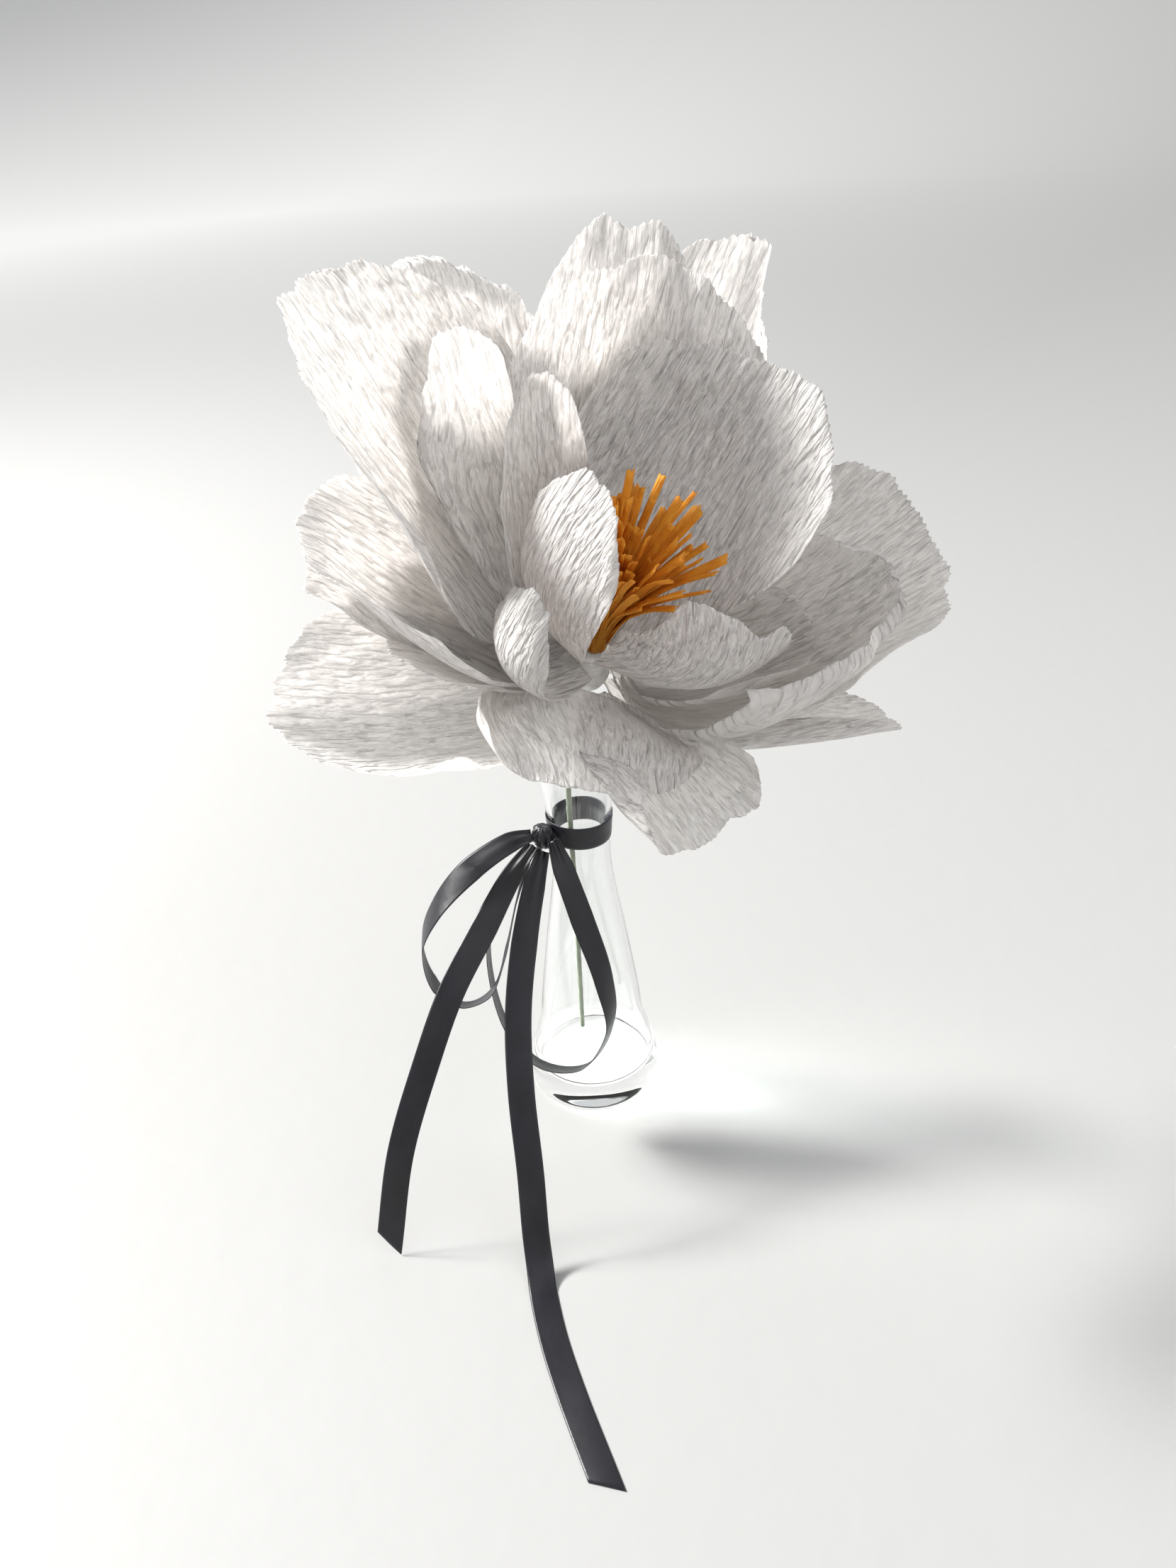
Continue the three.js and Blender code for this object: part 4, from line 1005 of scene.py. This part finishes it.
TAIL_RIGHT = [
    (-0.2, -6.2, 0.975, 0, -0.9, 0.4, 5), (-4.3, -15.3, 0.9, 0, -0.87, 0.5, 8.5),
    (-9.3, -28.8, 0.765, 0, -0.87, 0.5, 10), (-12.8, -44.8, 0.61, 0, -0.87, 0.5, 10),
    (-13, -62.8, 0.45, 0, -0.87, 0.5, 10), (-11.3, -78.8, 0.26, 0, -0.87, 0.5, 10),
    (-10.8, -88.8, 0.1, 0, -0.7, 0.7, 10), (-9.8, -96.3, 0.03, 0, -0.2, 1, 10),
    (-8.8, -104.8, 0, 0, 0, 1, 10), (-5.3, -122.8, 0, 0, 0, 1, 10), (0.7, -143.8, 0, 0, 0, 1, 10),
    (11.2, -174.8, 0, 0, 0, 1, 10),
]


def from_knot(rows):
    return [(KNOT[0] + x, KNOT[1] + y, KNOT[2] + z, *rest) for x, y, z, *rest in rows]


def on_table(rows):
    return [(KNOT[0] + x, KNOT[1] + y, ON_TABLE + h * KNOT[2], *rest) for x, y, h, *rest in rows]


def ribbon_grid(rows, slant):
    """Middle points of a ribbon laid along its rows, gathered into pleats where it is narrow."""
    rows = np.array(rows, float)
    stations, cols = 150, 14
    centre = centripetal(rows[:, :3], stations + 1)
    centre[:, 2] = np.maximum(centre[:, 2], ON_TABLE)
    ahead = unit(np.gradient(centre, axis=0))
    at = np.linspace(0, len(rows) - 1, stations + 1)
    face = np.stack([np.interp(at, np.arange(len(rows)), rows[:, c]) for c in (3, 4, 5)], -1)
    face = unit(face - ahead * (face * ahead).sum(-1, keepdims=True))
    wide = np.cross(ahead, face)
    width = np.interp(at, np.arange(len(rows)), rows[:, 6])
    across = np.linspace(-0.5, 0.5, cols + 1)
    gather = np.clip((RIBBON_W - width) / RIBBON_W, 0, 1)
    pleat = 1.5 * np.cos(across * 4 * math.pi) * (gather**1.3)[:, None]
    crown = 0.25 * np.cos(across * math.pi)
    run = np.concatenate([[0], np.cumsum(np.linalg.norm(np.diff(centre, axis=0), axis=1))])
    lead = np.outer(smooth((run - run[-1] + 8) / 8), across) * slant
    grid = (centre[:, None] + wide[:, None] * (width[:, None] * across)[..., None]
            + face[:, None] * (pleat + crown - 0.12)[..., None] + ahead[:, None] * lead[..., None])
    grid[..., 2] = np.maximum(grid[..., 2], RIBBON_T / 2 + 0.02)
    flat = np.stack(np.broadcast_arrays(across * RIBBON_W, run[:, None]), -1)
    return grid, flat / 10, run[-1]


def ribbon(name, rows, slant, satin, node):
    grid, uv, length = ribbon_grid(rows, slant)
    piece = sheet_object(name, grid, RIBBON_T, uv)
    finish_piece(piece, satin, "ribbon_satin", node)


def collar(satin):
    around, up = 160, 10
    angles = np.arange(around) * 2 * math.pi / around
    share = np.linspace(-0.5, 0.5, up + 1)
    heights = COLLAR_MID + share * RIBBON_W
    radii = np.array([outside_radius(z) for z in heights]) + SEAT + RIBBON_T / 2
    crown = 0.18 * np.cos(share * math.pi)
    dip = 0.4 * np.sin(angles[:, None] * 2) * np.ones((1, up + 1))
    r = (radii + crown)[None, :] + 0.06 * noise(angles[:, None] * 3, share[None, :] * 3, 5)
    z = heights[None, :] + dip * 0.5
    middle = np.stack([r * np.cos(angles)[:, None], r * np.sin(angles)[:, None], z], -1)
    out = np.stack([np.cos(angles), np.sin(angles), 0 * angles], -1)[:, None]
    skins = [middle + s * out * RIBBON_T / 2 for s in (1, -1)]
    loop = np.concatenate([skins[0], skins[1][:, ::-1]], 1)
    points = np.concatenate([loop, loop[:1]]).reshape(-1, 3)
    n, m = around + 1, 2 * up + 2
    run = np.linspace(0, 2 * math.pi * radii.mean(), n)
    width = np.concatenate([share, share[::-1]]) * RIBBON_W
    uv = np.stack(np.broadcast_arrays(width[None, :], run[:, None]), -1) / 10
    faces = []
    for i in range(around):
        here, there = i * m, (i + 1) % around * m
        faces += [[here + j, there + j, there + (j + 1) % m, here + (j + 1) % m] for j in range(m)]
    piece = sheet_mesh_object("neck_ribbon", points[:around * m], faces, uv.reshape(-1, 2)[:around * m])
    finish_piece(piece, satin, "ribbon_satin", "ribbon_collar")


def knot(satin):
    """Two turns of ribbon pulled tight over each other."""
    around, up = 64, 40
    a = np.linspace(0, 2 * math.pi, around, endpoint=False)[None, :]
    h = np.linspace(-1, 1, up + 1)[:, None]
    shape = (1 - np.abs(h) ** 2.6) ** 0.42
    fold = 0.10 * np.cos(7 * a + 3.5 * h) * shape + 0.06 * np.cos(13 * a - 6 * h)
    r = shape * (1 + fold)
    local = np.stack([KNOT_DEEP * r * np.cos(a), 1.2 * KNOT_DEEP * r * np.sin(a), 5 * h + 0 * a], -1)
    ct, st = math.cos(KNOT_AT), math.sin(KNOT_AT)
    turn = np.array([[ct, -st, 0], [st, ct, 0], [0, 0, 1]])
    points = (local.reshape(-1, 3) @ turn.T) + KNOT
    quads = grid_quads(up + 1, around, closed=True)
    uv = np.stack(np.broadcast_arrays(a * 0.4, h * 0.5), -1).reshape(-1, 2)
    piece = sheet_mesh_object("bow_knot", points, quads[:, ::-1], uv)
    finish_piece(piece, satin, "ribbon_satin", "ribbon_knot")


def bow(satin):
    collar(satin)
    knot(satin)
    ribbon("bow_loop_left", from_knot(LOOP_LEFT), 0, satin, "ribbon_loop_left")
    ribbon("bow_loop_right", from_knot(LOOP_RIGHT), 0, satin, "ribbon_loop_right")
    ribbon("bow_tail_left", on_table(TAIL_LEFT), -8, satin, "ribbon_tail_left")
    ribbon("bow_tail_right", on_table(TAIL_RIGHT), -7, satin, "ribbon_tail_right")


camera()
stage()
tape_finish = tape_material()
white = paper_material("white_crepe", ((0.86, 0.855, 0.845, 1), (0.93, 0.925, 0.92, 1)),
                       (0.98, 0.955, 0.935, 1), 0.6, 1.0)
orange = paper_material("orange_crepe", ((0.80, 0.30, 0.02, 1), (0.93, 0.47, 0.05, 1)),
                        (0.95, 0.45, 0.06, 1), 0.3, 0.5)
vase(glass_material())
stem(tape_finish)
flower_base()
petals(white)
stamens(orange)
bow(satin_material())
